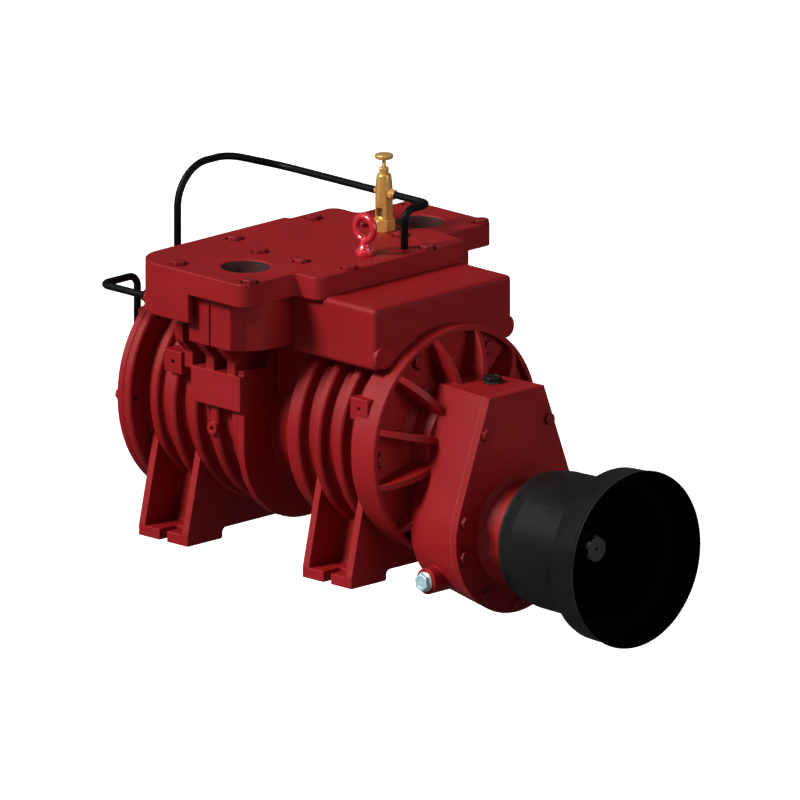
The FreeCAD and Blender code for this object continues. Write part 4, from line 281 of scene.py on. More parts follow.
brass = turned_metal(
    "turned_brass", clean=(0.86, 0.50, 0.13), dull=(0.55, 0.28, 0.07), rough=0.26, grooves=UP_RINGS,
    metallic=0.6,
)
zinc = turned_metal(
    "bright_zinc", clean=(0.50, 0.72, 0.76), dull=(0.36, 0.54, 0.58), rough=0.4, grooves=DRAWN, metallic=0.4
)
copper = turned_metal(
    "dull_copper", clean=(0.62, 0.30, 0.18), dull=(0.30, 0.14, 0.09), rough=0.35, grooves=DRAWN
)
steel = turned_metal(
    "ground_steel", clean=(0.52, 0.52, 0.54), dull=(0.30, 0.29, 0.28), rough=0.27, grooves=SHAFT_RINGS
)
cage_brass = turned_metal(
    "pressed_brass", clean=(0.70, 0.50, 0.22), dull=(0.42, 0.28, 0.1), rough=0.32, grooves=SHAFT_RINGS
)
dark_shaft_steel = turned_metal(
    "darkened_shaft_steel", clean=(0.10, 0.10, 0.098), dull=(0.05, 0.05, 0.048), rough=0.42, grooves=SHAFT_RINGS
)
iron = turned_metal(
    "machined_iron", clean=(0.36, 0.36, 0.37), dull=(0.22, 0.21, 0.2), rough=0.4, grooves=SHAFT_RINGS,
    groove_scale=500.0,
)
print("metals", [m.name for m in (brass, zinc, copper, steel, dark_shaft_steel, cage_brass, iron)])

# %% [markdown]
# ## Black plastic, rubber, fibre and gasket paper
# Moulded black plastic is dark but not dead: it has a faint grain, fine scuffs, a broad
# soft shine and a painted highlight that lightens its edges. The same recipe with other
# numbers serves for the coated pipes, the seals, the gaskets and the vanes. The guard's
# inside gets a near black of its own, without shine: painted shade, as no daylight reaches
# into it.

# %% Plastics and papers


def moulded(name, dark, scuffed, rough, grain, relief, rounding, shine=0.5):
    """Dark material with a painted highlight along its edges; rounding is the radius of its edges in metres.
    """
    plastic = Finish(name, IOR=1.46, Specular_IOR_Level=shine)
    round_edge = plastic.rounded(rounding)
    edge = plastic.edges(round_edge)
    haze = plastic.noise(16.0, 5.0).spread(0.35, 0.7)
    scuffs = plastic.noise(90.0, 6.0, plastic.stretched((1.0, 0.25, 1.0))).spread(0.6, 0.75)
    # Edges painted lighter: a painted highlight along the rounded edges.
    edge_highlight_grey = tuple(3.2 * c for c in scuffed)
    colour = plastic.blend(haze * 0.35, dark, scuffed)
    colour = plastic.blend(edge * 0.7, colour, edge_highlight_grey)
    colour = plastic.blend(scuffs * 0.25, colour, scuffed)
    pebble = plastic.noise(grain, 3.0)
    skin = plastic.relief(pebble, relief, 0.0003, round_edge)
    roughness = rough + 0.12 * haze + 0.1 * scuffs
    return plastic.surface(Base_Color=colour, Roughness=roughness, Normal=skin)


black_plastic = moulded(
    "black_guard_plastic", dark=(0.0055, 0.0057, 0.0057), scuffed=(0.017, 0.0165, 0.0155),
    rough=0.42, grain=1400.0, relief=0.12, rounding=0.0012, shine=0.13,
)
guard_inside_shade = moulded(
    "guard_inside_painted_shade", dark=(0.0008, 0.0012, 0.0014), scuffed=(0.0012, 0.0016, 0.0018),
    rough=0.8, grain=1400.0, relief=0.1, rounding=0.0008, shine=0.01,
)
pipe_skin = moulded(
    "black_pipe_coat", dark=(0.0016, 0.0016, 0.0018), scuffed=(0.006, 0.006, 0.006),
    rough=0.4, grain=1800.0, relief=0.1, rounding=0.0006, shine=0.12,
)
seal_rubber = moulded(
    "oily_seal_rubber", dark=(0.012, 0.012, 0.012), scuffed=(0.04, 0.04, 0.04),
    rough=0.28, grain=2200.0, relief=0.15, rounding=0.0005,
)
gasket_paper = moulded(
    "gasket_paper", dark=(0.05, 0.045, 0.035), scuffed=(0.12, 0.11, 0.09),
    rough=0.7, grain=2600.0, relief=0.3, rounding=0.0002,
)
vane_fibre = moulded(
    "vane_fibre", dark=(0.05, 0.028, 0.015), scuffed=(0.11, 0.07, 0.04),
    rough=0.55, grain=1500.0, relief=0.3, rounding=0.0005,
)
plastics = (black_plastic, guard_inside_shade, pipe_skin, seal_rubber, gasket_paper, vane_fibre)
print("plastics", [plastic.name for plastic in plastics])

# %% [markdown]
# ## Every solid gets its finish
# The record of the pump says what each solid is made of. One table turns those words into
# the finishes above, so no solid is missed and none is painted by hand. Only the splined
# shaft departs from it: it is ground steel, given a darker colour than the rest.

# %% Give every solid its finish
FINISH_OF_SLOT = {
    "painted_iron": red_paint,
    "painted_bolts": bolt_paint,
    "bright_red": eye_paint,
    "brass": brass,
    "black_pipe": pipe_skin,
    "black_plastic": black_plastic,
    "zinc_steel": zinc,
    "copper": copper,
    "gasket": gasket_paper,
    "seal_rubber": seal_rubber,
    "bare_iron": iron,
    "vane_fibre": vane_fibre,
    "ground_steel": steel,
    "cage_brass": cage_brass,
}
slot_of_part = {row["node"]: row["material_slot"] for row in frame["record"]["subparts"]}
for name, part in parts.items():
    part.data.materials.clear()
    part.data.materials.append(FINISH_OF_SLOT[slot_of_part[name]])
parts["pto_shaft"].data.materials[0] = dark_shaft_steel
print("finished solids", len(slot_of_part))

# %% [markdown]
# ## A lathe, a mill and a bench
# Nearly every small piece on this pump is turned from bar, and many then get flats for a
# spanner. The script works the same way: a lathe spins half an outline about an upright
# axis, and a mill planes flats on what was turned, which leaves the same arcs on a bolt
# head's corners as a real chamfer does. The bench joins the shells of one piece, stands
# them in the pump, and hands the piece to the body that it moves with.

# %% Lathe, mill and bench
MM = 0.001
UP = Vector((0, 0, 1))
SHARP = math.radians(28)
TOUCHING = MM / 1000


def every(blank):
    return blank.verts[:] + blank.edges[:] + blank.faces[:]


def close_holes(blank):
    rims = [edge for edge in blank.edges if edge.is_boundary]
    if rims:
        bmesh.ops.edgeloop_fill(blank, edges=rims)
    bmesh.ops.recalc_face_normals(blank, faces=blank.faces)
    return blank


def lathe(outline, steps=48, sweep=math.tau):
    """Turns (radius, height) points, in millimetres, about an upright axis."""
    blank = bmesh.new()
    points = [blank.verts.new((radius * MM, 0, height * MM)) for radius, height in outline]
    line = [blank.edges.new(ends) for ends in zip(points, points[1:])]
    closed = sweep == math.tau
    bmesh.ops.spin(
        blank, geom=points + line, axis=UP, cent=(0, 0, 0), angle=sweep, steps=steps, use_merge=closed
    )
    bmesh.ops.remove_doubles(blank, verts=blank.verts, dist=TOUCHING)
    return close_holes(blank)


def plane_off(blank, heading, distance):
    """Cuts away what lies beyond an upright plane and closes the cut."""
    outward = Vector((math.cos(heading), math.sin(heading), 0))
    spot = outward * distance * MM
    bmesh.ops.bisect_plane(
        blank, geom=every(blank), dist=TOUCHING, plane_co=spot, plane_no=outward, clear_outer=True
    )
    return close_holes(blank)


def mill(blank, flats, sides=6, turn=0.0):
    """Planes flats round a turned blank; flats is the size across them."""
    for side in range(sides):
        plane_off(blank, turn + side * math.tau / sides, flats / 2)
    return blank


def stand(x, y, z, facing=(0, 0, 1), turn=0.0):
    """Where a piece made upright at the origin goes: a spot in millimetres and a heading."""
    lean = Vector(facing).to_track_quat("Z", "Y").to_matrix().to_4x4()
    return Matrix.Translation(Vector((x, y, z)) * MM) @ lean @ Matrix.Rotation(turn, 4, "Z")


def joined(shells):
    """One bmesh from pairs of a shell and the places where it stands."""
    whole = bmesh.new()
    for shell, places in shells:
        copy = bpy.data.meshes.new("shell")
        shell.to_mesh(copy)
        shell.free()
        for place in places:
            first = len(whole.verts)
            whole.from_mesh(copy)
            whole.verts.ensure_lookup_table()
            bmesh.ops.transform(whole, matrix=place, verts=whole.verts[first:])
        bpy.data.meshes.remove(copy)
    return whole


def bench(name, shells, slot, body, nodes=(), finish=None):
    """Joins shells into a named piece that rides on a body and stands for solids."""
    whole = joined(shells)
    for face in whole.faces:
        face.smooth = True
    for edge in whole.edges:
        edge.smooth = edge.calc_face_angle(0.0) < SHARP
    data = bpy.data.meshes.new(name)
    whole.to_mesh(data)
    whole.free()
    data.materials.append(finish or FINISH_OF_SLOT[slot])
    piece = bpy.data.objects.new(name, data)
    bpy.context.collection.objects.link(piece)
    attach(piece, body)
    if nodes:
        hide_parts(*nodes)
    print(name, "faces", len(data.polygons), "on", body)
    return piece


print("the workshop is ready")

# %% [markdown]
# ## Hexagon bolts
# A bolt head is a hexagon with a turned chamfer on top and a thin round washer face below.
# A six-sided cone would miss the curved bite that the chamfer takes out of each corner, so
# each head is turned round first and milled after, as the real one was. Bolts that share
# a size and a part are one piece, as they share one solid's name in the frame.

# %% Bolt heads, shanks and rings of bolts
FIRST_TURN = 0.4
NEXT_TURN = 1.3


def hex_head(flats, height, washer=0.4):
    corner = flats / math.sqrt(3)
    face = 0.475 * flats
    chamfer = (corner - face) * math.tan(math.radians(30))
    outline = [(0, 0), (face, 0), (face, washer), (corner, washer), (corner, height - chamfer)]
    outline += [(face, height), (0.62 * face, height), (0.58 * face, height - 0.25), (0, height - 0.25)]
    return mill(lathe(outline), flats)


def shank(radius, reach, bevel=0.8, steps=24):
    """A bolt's shank that hangs from its seat and overlaps the head by a hair."""
    outline = [(0, -reach), (radius - bevel, -reach), (radius, bevel - reach), (radius, 0.1), (0, 0.1)]
    return lathe(outline, steps)


def bolts(name, node, size, reach, facing, seats):
    """One piece of like bolts; size is the thread's radius, the flats and the head's height."""
    radius, flats, head = size
    places = [stand(*seat, facing, FIRST_TURN + NEXT_TURN * number) for number, seat in enumerate(seats)]
    shells = [(hex_head(flats, head), places), (shank(radius, reach), places)]
    slot = "zinc_steel" if node == "guard_screws" else "painted_bolts"
    return bench(name, shells, slot, "casing", [node])


def arc_of(angles, circle, x, z):
    """Places at angles, in degrees, on a circle about the shaft line at height z."""
    turns = [math.radians(angle) for angle in angles]
    return [(x, circle * math.cos(turn), z + circle * math.sin(turn)) for turn in turns]


def ring_of(count, circle, x, z, first=0.0):
    return arc_of([first + step * 360 / count for step in range(count)], circle, x, z)


print("a ring of four places", [[round(v, 1) for v in place] for place in ring_of(4, 10, 0, 0)])

# %% [markdown]
# ## Where the bolts sit
# Cover bolts stand on circles about the rotor's line or the tractor shaft's line, so most
# places come from an angle and a radius. The places are written down and not looked up in
# the solids, because a solid's box doesn't tell its bolts apart. No two heads on a real
# pump stop at the same angle, so each bolt gets a turn of its own. The shanks reach into
# the holes that the castings have for them.

# %% Bolts of the plate, the flange, the covers and the guard
# Radius of the thread, size across the flats and height of the head.
M6 = (3.0, 10.0, 4.0)
M8 = (4.0, 13.0, 5.3)
M10 = (5.0, 16.0, 6.4)
UPRIGHT = (0, 0, 1)
FORWARD = (1, 0, 0)
BACKWARD = (-1, 0, 0)
ROTOR_Z = 168.0
PTO_Z = 77.0
PLATE_TOP = 372
BOLT_SINK = 2
# Where a bolt stands along the plate, and how far it is from the middle on either side.
PLATE_BOLTS = [(-52, 197), (-87, 67), (107, 66), (44, 85), (-23, 88), (68, 197)]
FLANGE_FACE = 212
CASE_COVER_FACE = 325
REAR_COVER_FACE = -212
CAP_FACE = -254
GUARD_RING_FACE = 375.5

plate_seats = [(x, side * y, PLATE_TOP - BOLT_SINK) for x, y in PLATE_BOLTS for side in (-1, 1)]
flange_seats = arc_of((-2, 58, 118, 182), circle=120, x=FLANGE_FACE, z=ROTOR_Z)
case_seats = arc_of((-90, -53, -11, 15.5, 164.5, 191, 233), circle=92, x=CASE_COVER_FACE, z=PTO_Z)
case_seats += [(CASE_COVER_FACE, side * 53, 204) for side in (-1, 1)]
rear_seats = ring_of(8, circle=133, x=REAR_COVER_FACE, z=ROTOR_Z)
cap_seats = ring_of(6, circle=53, x=CAP_FACE, z=ROTOR_Z)
guard_seats = ring_of(4, circle=48, x=GUARD_RING_FACE, z=PTO_Z, first=45)
bolts("plate_bolts", "manifold_bolts", M10, reach=24, facing=UPRIGHT, seats=plate_seats)
bolts("flange_bolts", "front_flange_bolts", M10, reach=24, facing=FORWARD, seats=flange_seats)
bolts("case_cover_bolts", "gearbox_cover_bolts", M8, reach=20, facing=FORWARD, seats=case_seats)
bolts("rear_bolts", "rear_cover_bolts", M8, reach=20, facing=BACKWARD, seats=rear_seats)
bolts("cap_screws", "rear_cap_screws", M6, reach=12, facing=BACKWARD, seats=cap_seats)
bolts("guard_bolts", "guard_screws", M8, reach=14, facing=FORWARD, seats=guard_seats)

# %% [markdown]
# ## The lifting eye
# A lifting eye is forged in one: a round ring that grows out of a stout neck, on a flat
# collar. A ring simply pushed into a cone would show a crease. Here ring and neck are made
# apart, fused into one skin by a voxel remesh, and then smoothed, which leaves the soft
# fillet of a forging. The collar was turned, so it keeps its crisp edge.

# %% Lifting eye


def fused(shell, voxel, rounds):
    """Melts the shells of a bmesh into one skin and smooths the joints."""
    data = bpy.data.meshes.new("to_fuse")
    shell.to_mesh(data)
    shell.free()
    holder = bpy.data.objects.new("to_fuse", data)
    bpy.context.collection.objects.link(holder)
    remesh = holder.modifiers.new("skin", "REMESH")
    remesh.mode = "VOXEL"
    remesh.voxel_size = voxel * MM
    melted = bpy.data.meshes.new_from_object(holder.evaluated_get(bpy.context.evaluated_depsgraph_get()))
    skin = bmesh.new()
    skin.from_mesh(melted)
    bpy.data.objects.remove(holder)
    bpy.data.meshes.remove(data)
    bpy.data.meshes.remove(melted)
    for _ in range(rounds):
        bmesh.ops.smooth_vert(
            skin, verts=skin.verts, factor=0.5, use_axis_x=True, use_axis_y=True, use_axis_z=True
        )
    return skin


def ring_bar(ring_radius, wire, steps=48):
    """A round bar bent into an upright ring that faces along Y."""
    bar = bmesh.new()
    section = Matrix.Translation((ring_radius * MM, 0, 0)) @ Matrix.Rotation(math.pi / 2, 4, "X")
    bmesh.ops.create_circle(bar, segments=24, radius=wire * MM, matrix=section)
    bmesh.ops.spin(
        bar, geom=every(bar), axis=UP, cent=(0, 0, 0), angle=math.tau, steps=steps, use_merge=True
    )
    bmesh.ops.recalc_face_normals(bar, faces=bar.faces)
    bmesh.ops.rotate(bar, verts=bar.verts, matrix=Matrix.Rotation(math.pi / 2, 3, "X"))
    return bar


EYE_SPOT = (75.6, -8.4)
EYE_RADIUS = 14.5
EYE_BAR = 4.6
EYE_HEIGHT = 33
neck = lathe([(0, 5), (9.5, 5), (8.6, 9), (6.4, 12.5), (5.6, 16), (4.6, 20), (0, 21)])
eye_ring = ring_bar(EYE_RADIUS, EYE_BAR)
forging = fused(joined([(eye_ring, [stand(0, 0, EYE_HEIGHT)]), (neck, [Matrix()])]), voxel=0.45, rounds=6)
collar = lathe([(0, 0), (11, 0), (11.6, 0.8), (11.6, 5.2), (11, 6), (9.4, 6.4), (0, 6.4)])
eye_shank = lathe([(0, -20), (5.2, -20), (6, -19), (6, 0.2), (0, 0.2)], 32)
at_eye = [stand(*EYE_SPOT, PLATE_TOP)]
bench(
    "lifting_eye_forging", [(forging, at_eye), (collar, at_eye), (eye_shank, at_eye)],
    "bright_red", "casing", ["eye_bolt"],
)

# %% [markdown]
# ## The ported cover plate
# The plate is a thick casting with one wing over each port, and skirts hang from the
# outer corners of the wings. Its near rear corner is swept round in one wide curve and its
# outline steps in behind the far port. The plate could be cut from a box, but an outline
# whose corners are rounded one by one and then drawn upwards keeps every radius its own.
# An outline here is a list of corners, each with its place and its radius.

# %% Outline of the cover plate
PLATE_BOTTOM = 344
SKIRT_BOTTOM = 308
FRONT, WING_FRONT, BACK = 115, 77, -116
NEAR_END, NEAR_NECK, FAR_NECK, FAR_END = -216, -127, 127, 210
FAR_WING_BACK, FAR_NECK_BACK = -66.5, -108
SKIRT_WALL = 8
SKIRT_END = -17
SWEEP = 45
CORNER = 14
INNER_CORNER = 8
PLATE_OUTLINE = [
    (BACK, NEAR_END, SWEEP),
    (WING_FRONT, NEAR_END, CORNER),
    (WING_FRONT, NEAR_NECK, INNER_CORNER),
    (FRONT, NEAR_NECK, CORNER),
    (FRONT, FAR_NECK, CORNER),
    (WING_FRONT, FAR_NECK, INNER_CORNER),
    (WING_FRONT, FAR_END, CORNER),
    (FAR_WING_BACK, FAR_END, CORNER),
    (FAR_WING_BACK, 123, 9),
    (FAR_NECK_BACK, 123, CORNER),
    (FAR_NECK_BACK, 48, 3),
    (BACK, 48, INNER_CORNER),
]
NEAR_SKIRT = [
    (BACK, -164, 0),
    (BACK, NEAR_END, SWEEP),
    (SKIRT_END, NEAR_END, 0),
    (SKIRT_END, NEAR_END + SKIRT_WALL, 0),
    (BACK + SKIRT_WALL, NEAR_END + SKIRT_WALL, SWEEP - SKIRT_WALL),
    (BACK + SKIRT_WALL, -164, 0),
]
FAR_SKIRT = [
    (FAR_WING_BACK, 166, 0),
    (FAR_WING_BACK, FAR_END, CORNER),
    (SKIRT_END, FAR_END, 0),
    (SKIRT_END, FAR_END - SKIRT_WALL, 0),
    (FAR_WING_BACK + SKIRT_WALL, FAR_END - SKIRT_WALL, CORNER - SKIRT_WALL),
    (FAR_WING_BACK + SKIRT_WALL, 166, 0),
]
print("plate outline", len(PLATE_OUTLINE), "corners")

# %% [markdown]
# ## Drawing up, softening and carving
# A casting is drawn up from its outline: each corner is bevelled flat to its radius, and
# the flat face is then extruded. Softening bevels the sharp edges at one height only, so
# the upright radii stay as drawn. Carving hands two shapes to the exact boolean. A drill
# and a skirt reach a little past the face that they meet, because faces that only touch
# confuse a boolean.

# %% Foundry and drill helpers
PAST_FACE = 4


def drawn_up(outline, bottom, top):
    """A casting drawn up from an outline of (x, y, corner radius), in millimetres."""
    blank = bmesh.new()
    corners = [blank.verts.new((x * MM, y * MM, bottom * MM)) for x, y, _ in outline]
    blank.faces.new(corners)
    for corner, (_, _, radius) in zip(corners, outline):
        if radius:
            arms = [edge.calc_length() for edge in corner.link_edges]
            sides = [(edge.other_vert(corner).co - corner.co).normalized() for edge in corner.link_edges]
            reach = min(radius * MM / math.tan(sides[0].angle(sides[1]) / 2), 0.98 * min(arms))
            bmesh.ops.bevel(
                blank, geom=[corner], offset=reach, segments=10, profile=0.5, affect="VERTICES", material=-1
            )
    base = blank.faces[:]
    bmesh.ops.recalc_face_normals(blank, faces=base)
    raised = bmesh.ops.extrude_face_region(blank, geom=base)["geom"]
    lifted = [item for item in raised if isinstance(item, bmesh.types.BMVert)]
    bmesh.ops.translate(blank, verts=lifted, vec=UP * (top - bottom) * MM)
    bmesh.ops.recalc_face_normals(blank, faces=blank.faces)
    return blank


def softened(blank, height, width):
    """Rounds the sharp level edges at one height, in millimetres."""
    level = [edge for edge in blank.edges if all(abs(v.co.z - height * MM) < MM / 20 for v in edge.verts)]
    rim = [edge for edge in level if edge.calc_face_angle(0.0) > SHARP]
    bmesh.ops.bevel(
        blank, geom=rim, offset=width * MM, segments=4, profile=0.5,
        affect="EDGES", material=-1, clamp_overlap=True,
    )
    return blank


def carved(blank, other, operation):
    """Cuts another shape out of a casting, or fuses it on."""
    meshes = []
    holders = []
    for shape in (blank, other):
        data = bpy.data.meshes.new("to_bore")
        shape.to_mesh(data)
        shape.free()
        holder = bpy.data.objects.new("to_bore", data)
        bpy.context.collection.objects.link(holder)
        meshes.append(data)
        holders.append(holder)
    cut = holders[0].modifiers.new("bore", "BOOLEAN")
    cut.operation = operation
    cut.solver = "EXACT"
    cut.object = holders[1]
    graph = bpy.context.evaluated_depsgraph_get()
    result = bpy.data.meshes.new_from_object(holders[0].evaluated_get(graph))
    shape = bmesh.new()
    shape.from_mesh(result)
    for holder in holders:
        bpy.data.objects.remove(holder)
    for data in meshes + [result]:
        bpy.data.meshes.remove(data)
    return shape


def step_drill(radius, depth, mouth=0.0, mouth_depth=0.0):
    """A drill whose tip is depth below the top face, with a wider shoulder at the mouth."""
    outline = [(0, -depth), (radius, -depth), (radius, -mouth_depth)]
    if mouth:
        outline.append((mouth, -mouth_depth))
    return lathe(outline + [(mouth or radius, PAST_FACE), (0, PAST_FACE)])


def on_plate(spot):
    return stand(*spot, PLATE_TOP)


print("a drill reaches past its face by", PAST_FACE, "mm")

# %% [markdown]
# ## Boring the plate
# The skirts are fused on before the edges are softened, so that no seam shows. Boring the
# holes comes last, with a boolean, as in a machine shop, where a casting is bored after it
# is poured. A modifier then weighs the normals by face size, which keeps the large flat
# top flat in the light. The walls of the ports are bare iron painted near black: painted
# shade for the deep bores.

# %% Plate with its skirts, bored
PORT_SPOTS = [(12.4, -147), (12.4, 147)]
PORT_RADIUS = 30
PORT_BEVEL = 1.5
THROUGH = 60
LUBE_SPOT = (10.8, 88.8)
PIPE_SPOT = (88.8, 45.6)
port_drill = lathe(
    [
        (0, -THROUGH), (PORT_RADIUS, -THROUGH), (PORT_RADIUS, 0.2 - PORT_BEVEL),
        (PORT_RADIUS + PORT_BEVEL, 0.2), (PORT_RADIUS + PORT_BEVEL, PAST_FACE), (0, PAST_FACE),
    ],
    72,
)
drills = joined([
    (port_drill, [on_plate(spot) for spot in PORT_SPOTS]),
    (step_drill(5.1, THROUGH, 11, BOLT_SINK), [on_plate((x, y)) for x, y, _ in plate_seats]),
    (step_drill(6.1, 20.5), [on_plate(EYE_SPOT)]),
    (step_drill(8.1, 12.5), [on_plate(LUBE_SPOT)]),
    (step_drill(4.55, 8.5), [on_plate(PIPE_SPOT)]),
])
plate_casting = drawn_up(PLATE_OUTLINE, PLATE_BOTTOM, PLATE_TOP)
for skirt in (NEAR_SKIRT, FAR_SKIRT):
    plate_casting = carved(plate_casting, drawn_up(skirt, SKIRT_BOTTOM, PLATE_BOTTOM + PAST_FACE), "UNION")
bmesh.ops.remove_doubles(plate_casting, verts=plate_casting.verts, dist=MM / 50)
plate_casting = softened(softened(plate_casting, PLATE_TOP, 2.6), SKIRT_BOTTOM, 1.6)
plate_casting = carved(plate_casting, drills, "DIFFERENCE")
plate = bench("ported_plate", [(plate_casting, [Matrix()])], "painted_iron", "casing", ["manifold_cover"])

# Near-black iron for the port walls: painted shade in the deep bores.
port_wall_shade_iron = turned_metal(
    "port_wall_painted_shade", clean=(0.07, 0.02, 0.02), dull=(0.03, 0.012, 0.012), rough=0.55, grooves=UP_RINGS,
    metallic=0.3,
)
plate.data.materials.append(port_wall_shade_iron)
for face in plate.data.polygons:
    off_axis = min((face.center.xy - Vector(spot) * MM).length for spot in PORT_SPOTS)
    below_bevel = face.center.z < (PLATE_TOP - PORT_BEVEL) * MM
    face.material_index = int(off_axis < (PORT_RADIUS + 0.3) * MM and below_bevel)
shading = plate.modifiers.new("even_shading", "WEIGHTED_NORMAL")
shading.keep_sharp = True
print("plate box", [round(v, 4) for corner in (plate.bound_box[0], plate.bound_box[6]) for v in corner])

# %% [markdown]
# ## The drip lubricator
# The brass lubricator meters oil drop by drop. From below it has a hexagon base, a sight
# chamber where the drops can be seen falling past a glass tube between two posts, a
# hexagon column whose top tapers, a small gland nut and a threaded needle with a thumb
# knob. Each is turned and milled. The two posts are what is left of the column's hexagon
# when its middle is planed away.

# %% Lubricator base, column and sight chamber
COLUMN_FLATS = 19
COLUMN_CORNER = 11
COLUMN_FOOT = 401
GLAND_FOOT = 440.8
SIGHT_HALF = 5.4


def at_lube(z):
    return [stand(*LUBE_SPOT, z)]


def post(heading):
    """One side of the column's hexagon, left standing beside the sight glass."""
    corner = COLUMN_CORNER
    whole = mill(lathe([(0, -13.5), (corner, -13.5), (corner, 0.2), (0, 0.2)]), COLUMN_FLATS)
    plane_off(whole, heading + math.pi, -SIGHT_HALF)
    return whole


base_blank = lathe([
    (0, 0), (12.2, 0), (13.9, 1), (13.9, 13), (12.0, 14.6),
    (8.6, 15.6), (7.6, 18), (6.6, 18), (6.2, 17), (0, 17),
])
base_thread = lathe([(0, -12), (7.2, -12), (8, -11.2), (8, 0.2), (0, 0.2)], 32)
bench(
    "lubricator_hex_base", [(mill(base_blank, 24), at_lube(PLATE_TOP)), (base_thread, at_lube(PLATE_TOP))],
    "brass", "casing", ["lubricator_base"],
)

column_blank = lathe([(0, 0), (10.2, 0), (11, 0.6), (11, 21), (8.9, 39.5), (8.2, 40.5), (0, 40.5)])
gland_blank = lathe([
    (0, 0), (5.2, 0), (5.9, 0.9), (5.9, 8.2), (5.2, 9.2), (3.4, 9.2), (3.2, 8.6), (0, 8.6),
])
drip_nose = lathe([(0, -7.5), (0.9, -7.5), (1.3, -6.5), (2.9, -2.5), (3.4, 0.2), (0, 0.2)], 24)
bench(
    "lubricator_column",
    [
        (mill(column_blank, COLUMN_FLATS), at_lube(COLUMN_FOOT)),
        (post(0.0), at_lube(COLUMN_FOOT)),
        (post(math.pi), at_lube(COLUMN_FOOT)),
        (drip_nose, at_lube(COLUMN_FOOT)),
        (mill(gland_blank, 10.6), at_lube(GLAND_FOOT)),
    ],
    "brass", "casing", ["lubricator_body"],
)

# %% [markdown]
# ## The sight glass
# The glass is a thin tube smeared with oil. Alpha lets through a share of what lies behind
# it, which costs less than true glass and looks the same at this size.

# %% Sight glass
glass = Finish("sight_glass", Roughness=0.04, IOR=1.45, Alpha=0.3)
smear = glass.noise(160.0, 3.0)
glass.surface(
    Base_Color=glass.blend(smear, (0.16, 0.11, 0.05), (0.34, 0.26, 0.14)),
    Roughness=0.03 + 0.08 * smear,
    Normal=glass.relief(smear, 0.05, 0.0002),
)
tube = lathe([(4.2, -12.4), (5.1, -12.4), (5.1, 0), (4.2, 0), (4.2, -12.4)])
bench("lubricator_sight_glass", [(tube, at_lube(COLUMN_FOOT))], "brass", "casing", finish=glass.material)

# %% [markdown]
# ## Knob and needle
# The knob turns by itself, so it rides on its own body, together with its needle. The
# needle carries a real thread: one V of an outline wound up a helix, then cut square at
# both ends. The rim is knurled by pulling in every second line of its edge.

# %% Lubricator knob and needle
RIM_STEPS = 72


def threaded_rod(root, crest, pitch, length, steps=24):
    """A rod with a thread between two radii, standing on the origin, in millimetres."""
    rod = bmesh.new()
    tooth = [(root, 0), (crest, pitch * 0.45), (crest, pitch * 0.55), (root, pitch)]
    points = [rod.verts.new((radius * MM, 0, height * MM)) for radius, height in tooth]
    line = [rod.edges.new(ends) for ends in zip(points, points[1:])]
    turns = math.ceil(length / pitch) + 2
    climb = (0, 0, pitch * MM / steps)
    bmesh.ops.spin(
        rod, geom=points + line, axis=UP, cent=(0, 0, 0), dvec=climb,
        angle=math.tau * turns, steps=steps * turns,
    )
    bmesh.ops.remove_doubles(rod, verts=rod.verts, dist=2 * TOUCHING)
    bottom = 1.5 * pitch
    for height, way in ((bottom, -1), (bottom + length, 1)):
        spot = UP * height * MM
        bmesh.ops.bisect_plane(
            rod, geom=every(rod), dist=TOUCHING, plane_co=spot, plane_no=UP * way, clear_outer=True
        )
    bmesh.ops.translate(rod, verts=rod.verts, vec=UP * -bottom * MM)
    return close_holes(rod)


def knurled(blank, depth, beyond):
    """Pulls in every second upright line of verts beyond a radius."""
    step = math.tau / RIM_STEPS
    rim = [v for v in blank.verts if v.co.xy.length > beyond * MM]
    odd = [v for v in rim if round(math.atan2(v.co.y, v.co.x) / step) % 2]
    bmesh.ops.scale(blank, verts=odd, vec=(depth, depth, 1))
    return blank


KNOB_FOOT = 460
NEEDLE_FOOT = 447.8
knob_disc = lathe(
    [
        (0, 0), (3.4, 0), (3.6, 0.9), (10.1, 1.2), (11.2, 2.1),
        (11.2, 5.4), (10.4, 6.2), (8.2, 6.7), (0, 7.1),
    ],
    RIM_STEPS,
)
needle = threaded_rod(root=2.1, crest=2.55, pitch=0.8, length=12.5)
needle_tip = lathe([(0, -12), (0.5, -12), (2.4, -7.5), (2.4, 0.2), (0, 0.2)], 24)
bench(
    "lubricator_thumb_knob",
    [
        (knurled(knob_disc, depth=0.955, beyond=11), at_lube(KNOB_FOOT)),
        (needle, at_lube(NEEDLE_FOOT)),
        (needle_tip, at_lube(NEEDLE_FOOT + 0.1)),
    ],
    "brass", "knob", ["lubricator_knob"],
)

# %% [markdown]
# ## Pipe nipples
# Two nipples take the oil pipes, a plain one at the back and one with a compression nut at
# the front. They are made upright like all turned pieces, and laid down by the place where
# they stand.

# %% Pipe nipples
NIPPLE_HEIGHT = 419
NIPPLE_REACH = 8.6
small_nipple = lathe([(0, 0), (4.4, 0), (4.4, 3), (3.6, 3.6), (3.6, 9.6), (0, 9.6)], 32)
nut_blank = [(0, 2.5), (5.6, 2.5), (6.6, 3.1), (6.6, 8.6), (5.6, 9.4), (4.7, 9.4), (4.7, 11), (0, 11)]
union_nut = mill(lathe(nut_blank), 11.6)
union_root = lathe([(0, 0), (4.6, 0), (4.6, 2.7), (0, 2.7)], 32)
at_back = [stand(LUBE_SPOT[0] - NIPPLE_REACH, LUBE_SPOT[1], NIPPLE_HEIGHT, BACKWARD)]
at_front = [stand(LUBE_SPOT[0] + NIPPLE_REACH, LUBE_SPOT[1], NIPPLE_HEIGHT, FORWARD)]
bench(
    "lubricator_pipe_nipples", [(small_nipple, at_back), (union_nut, at_front), (union_root, at_front)],
    "brass", "casing", ["lubricator_nipples"],
)

# %% [markdown]
# ## Plugs and pipe nuts
# The drain plug is a zinc hexagon with a flange that presses its washer on the boss. The
# filler plug is moulded, so its hexagon has soft corners and a shallow dish on top. The
# nuts where the side pipe goes into the castings are plain hexagons with a collar.

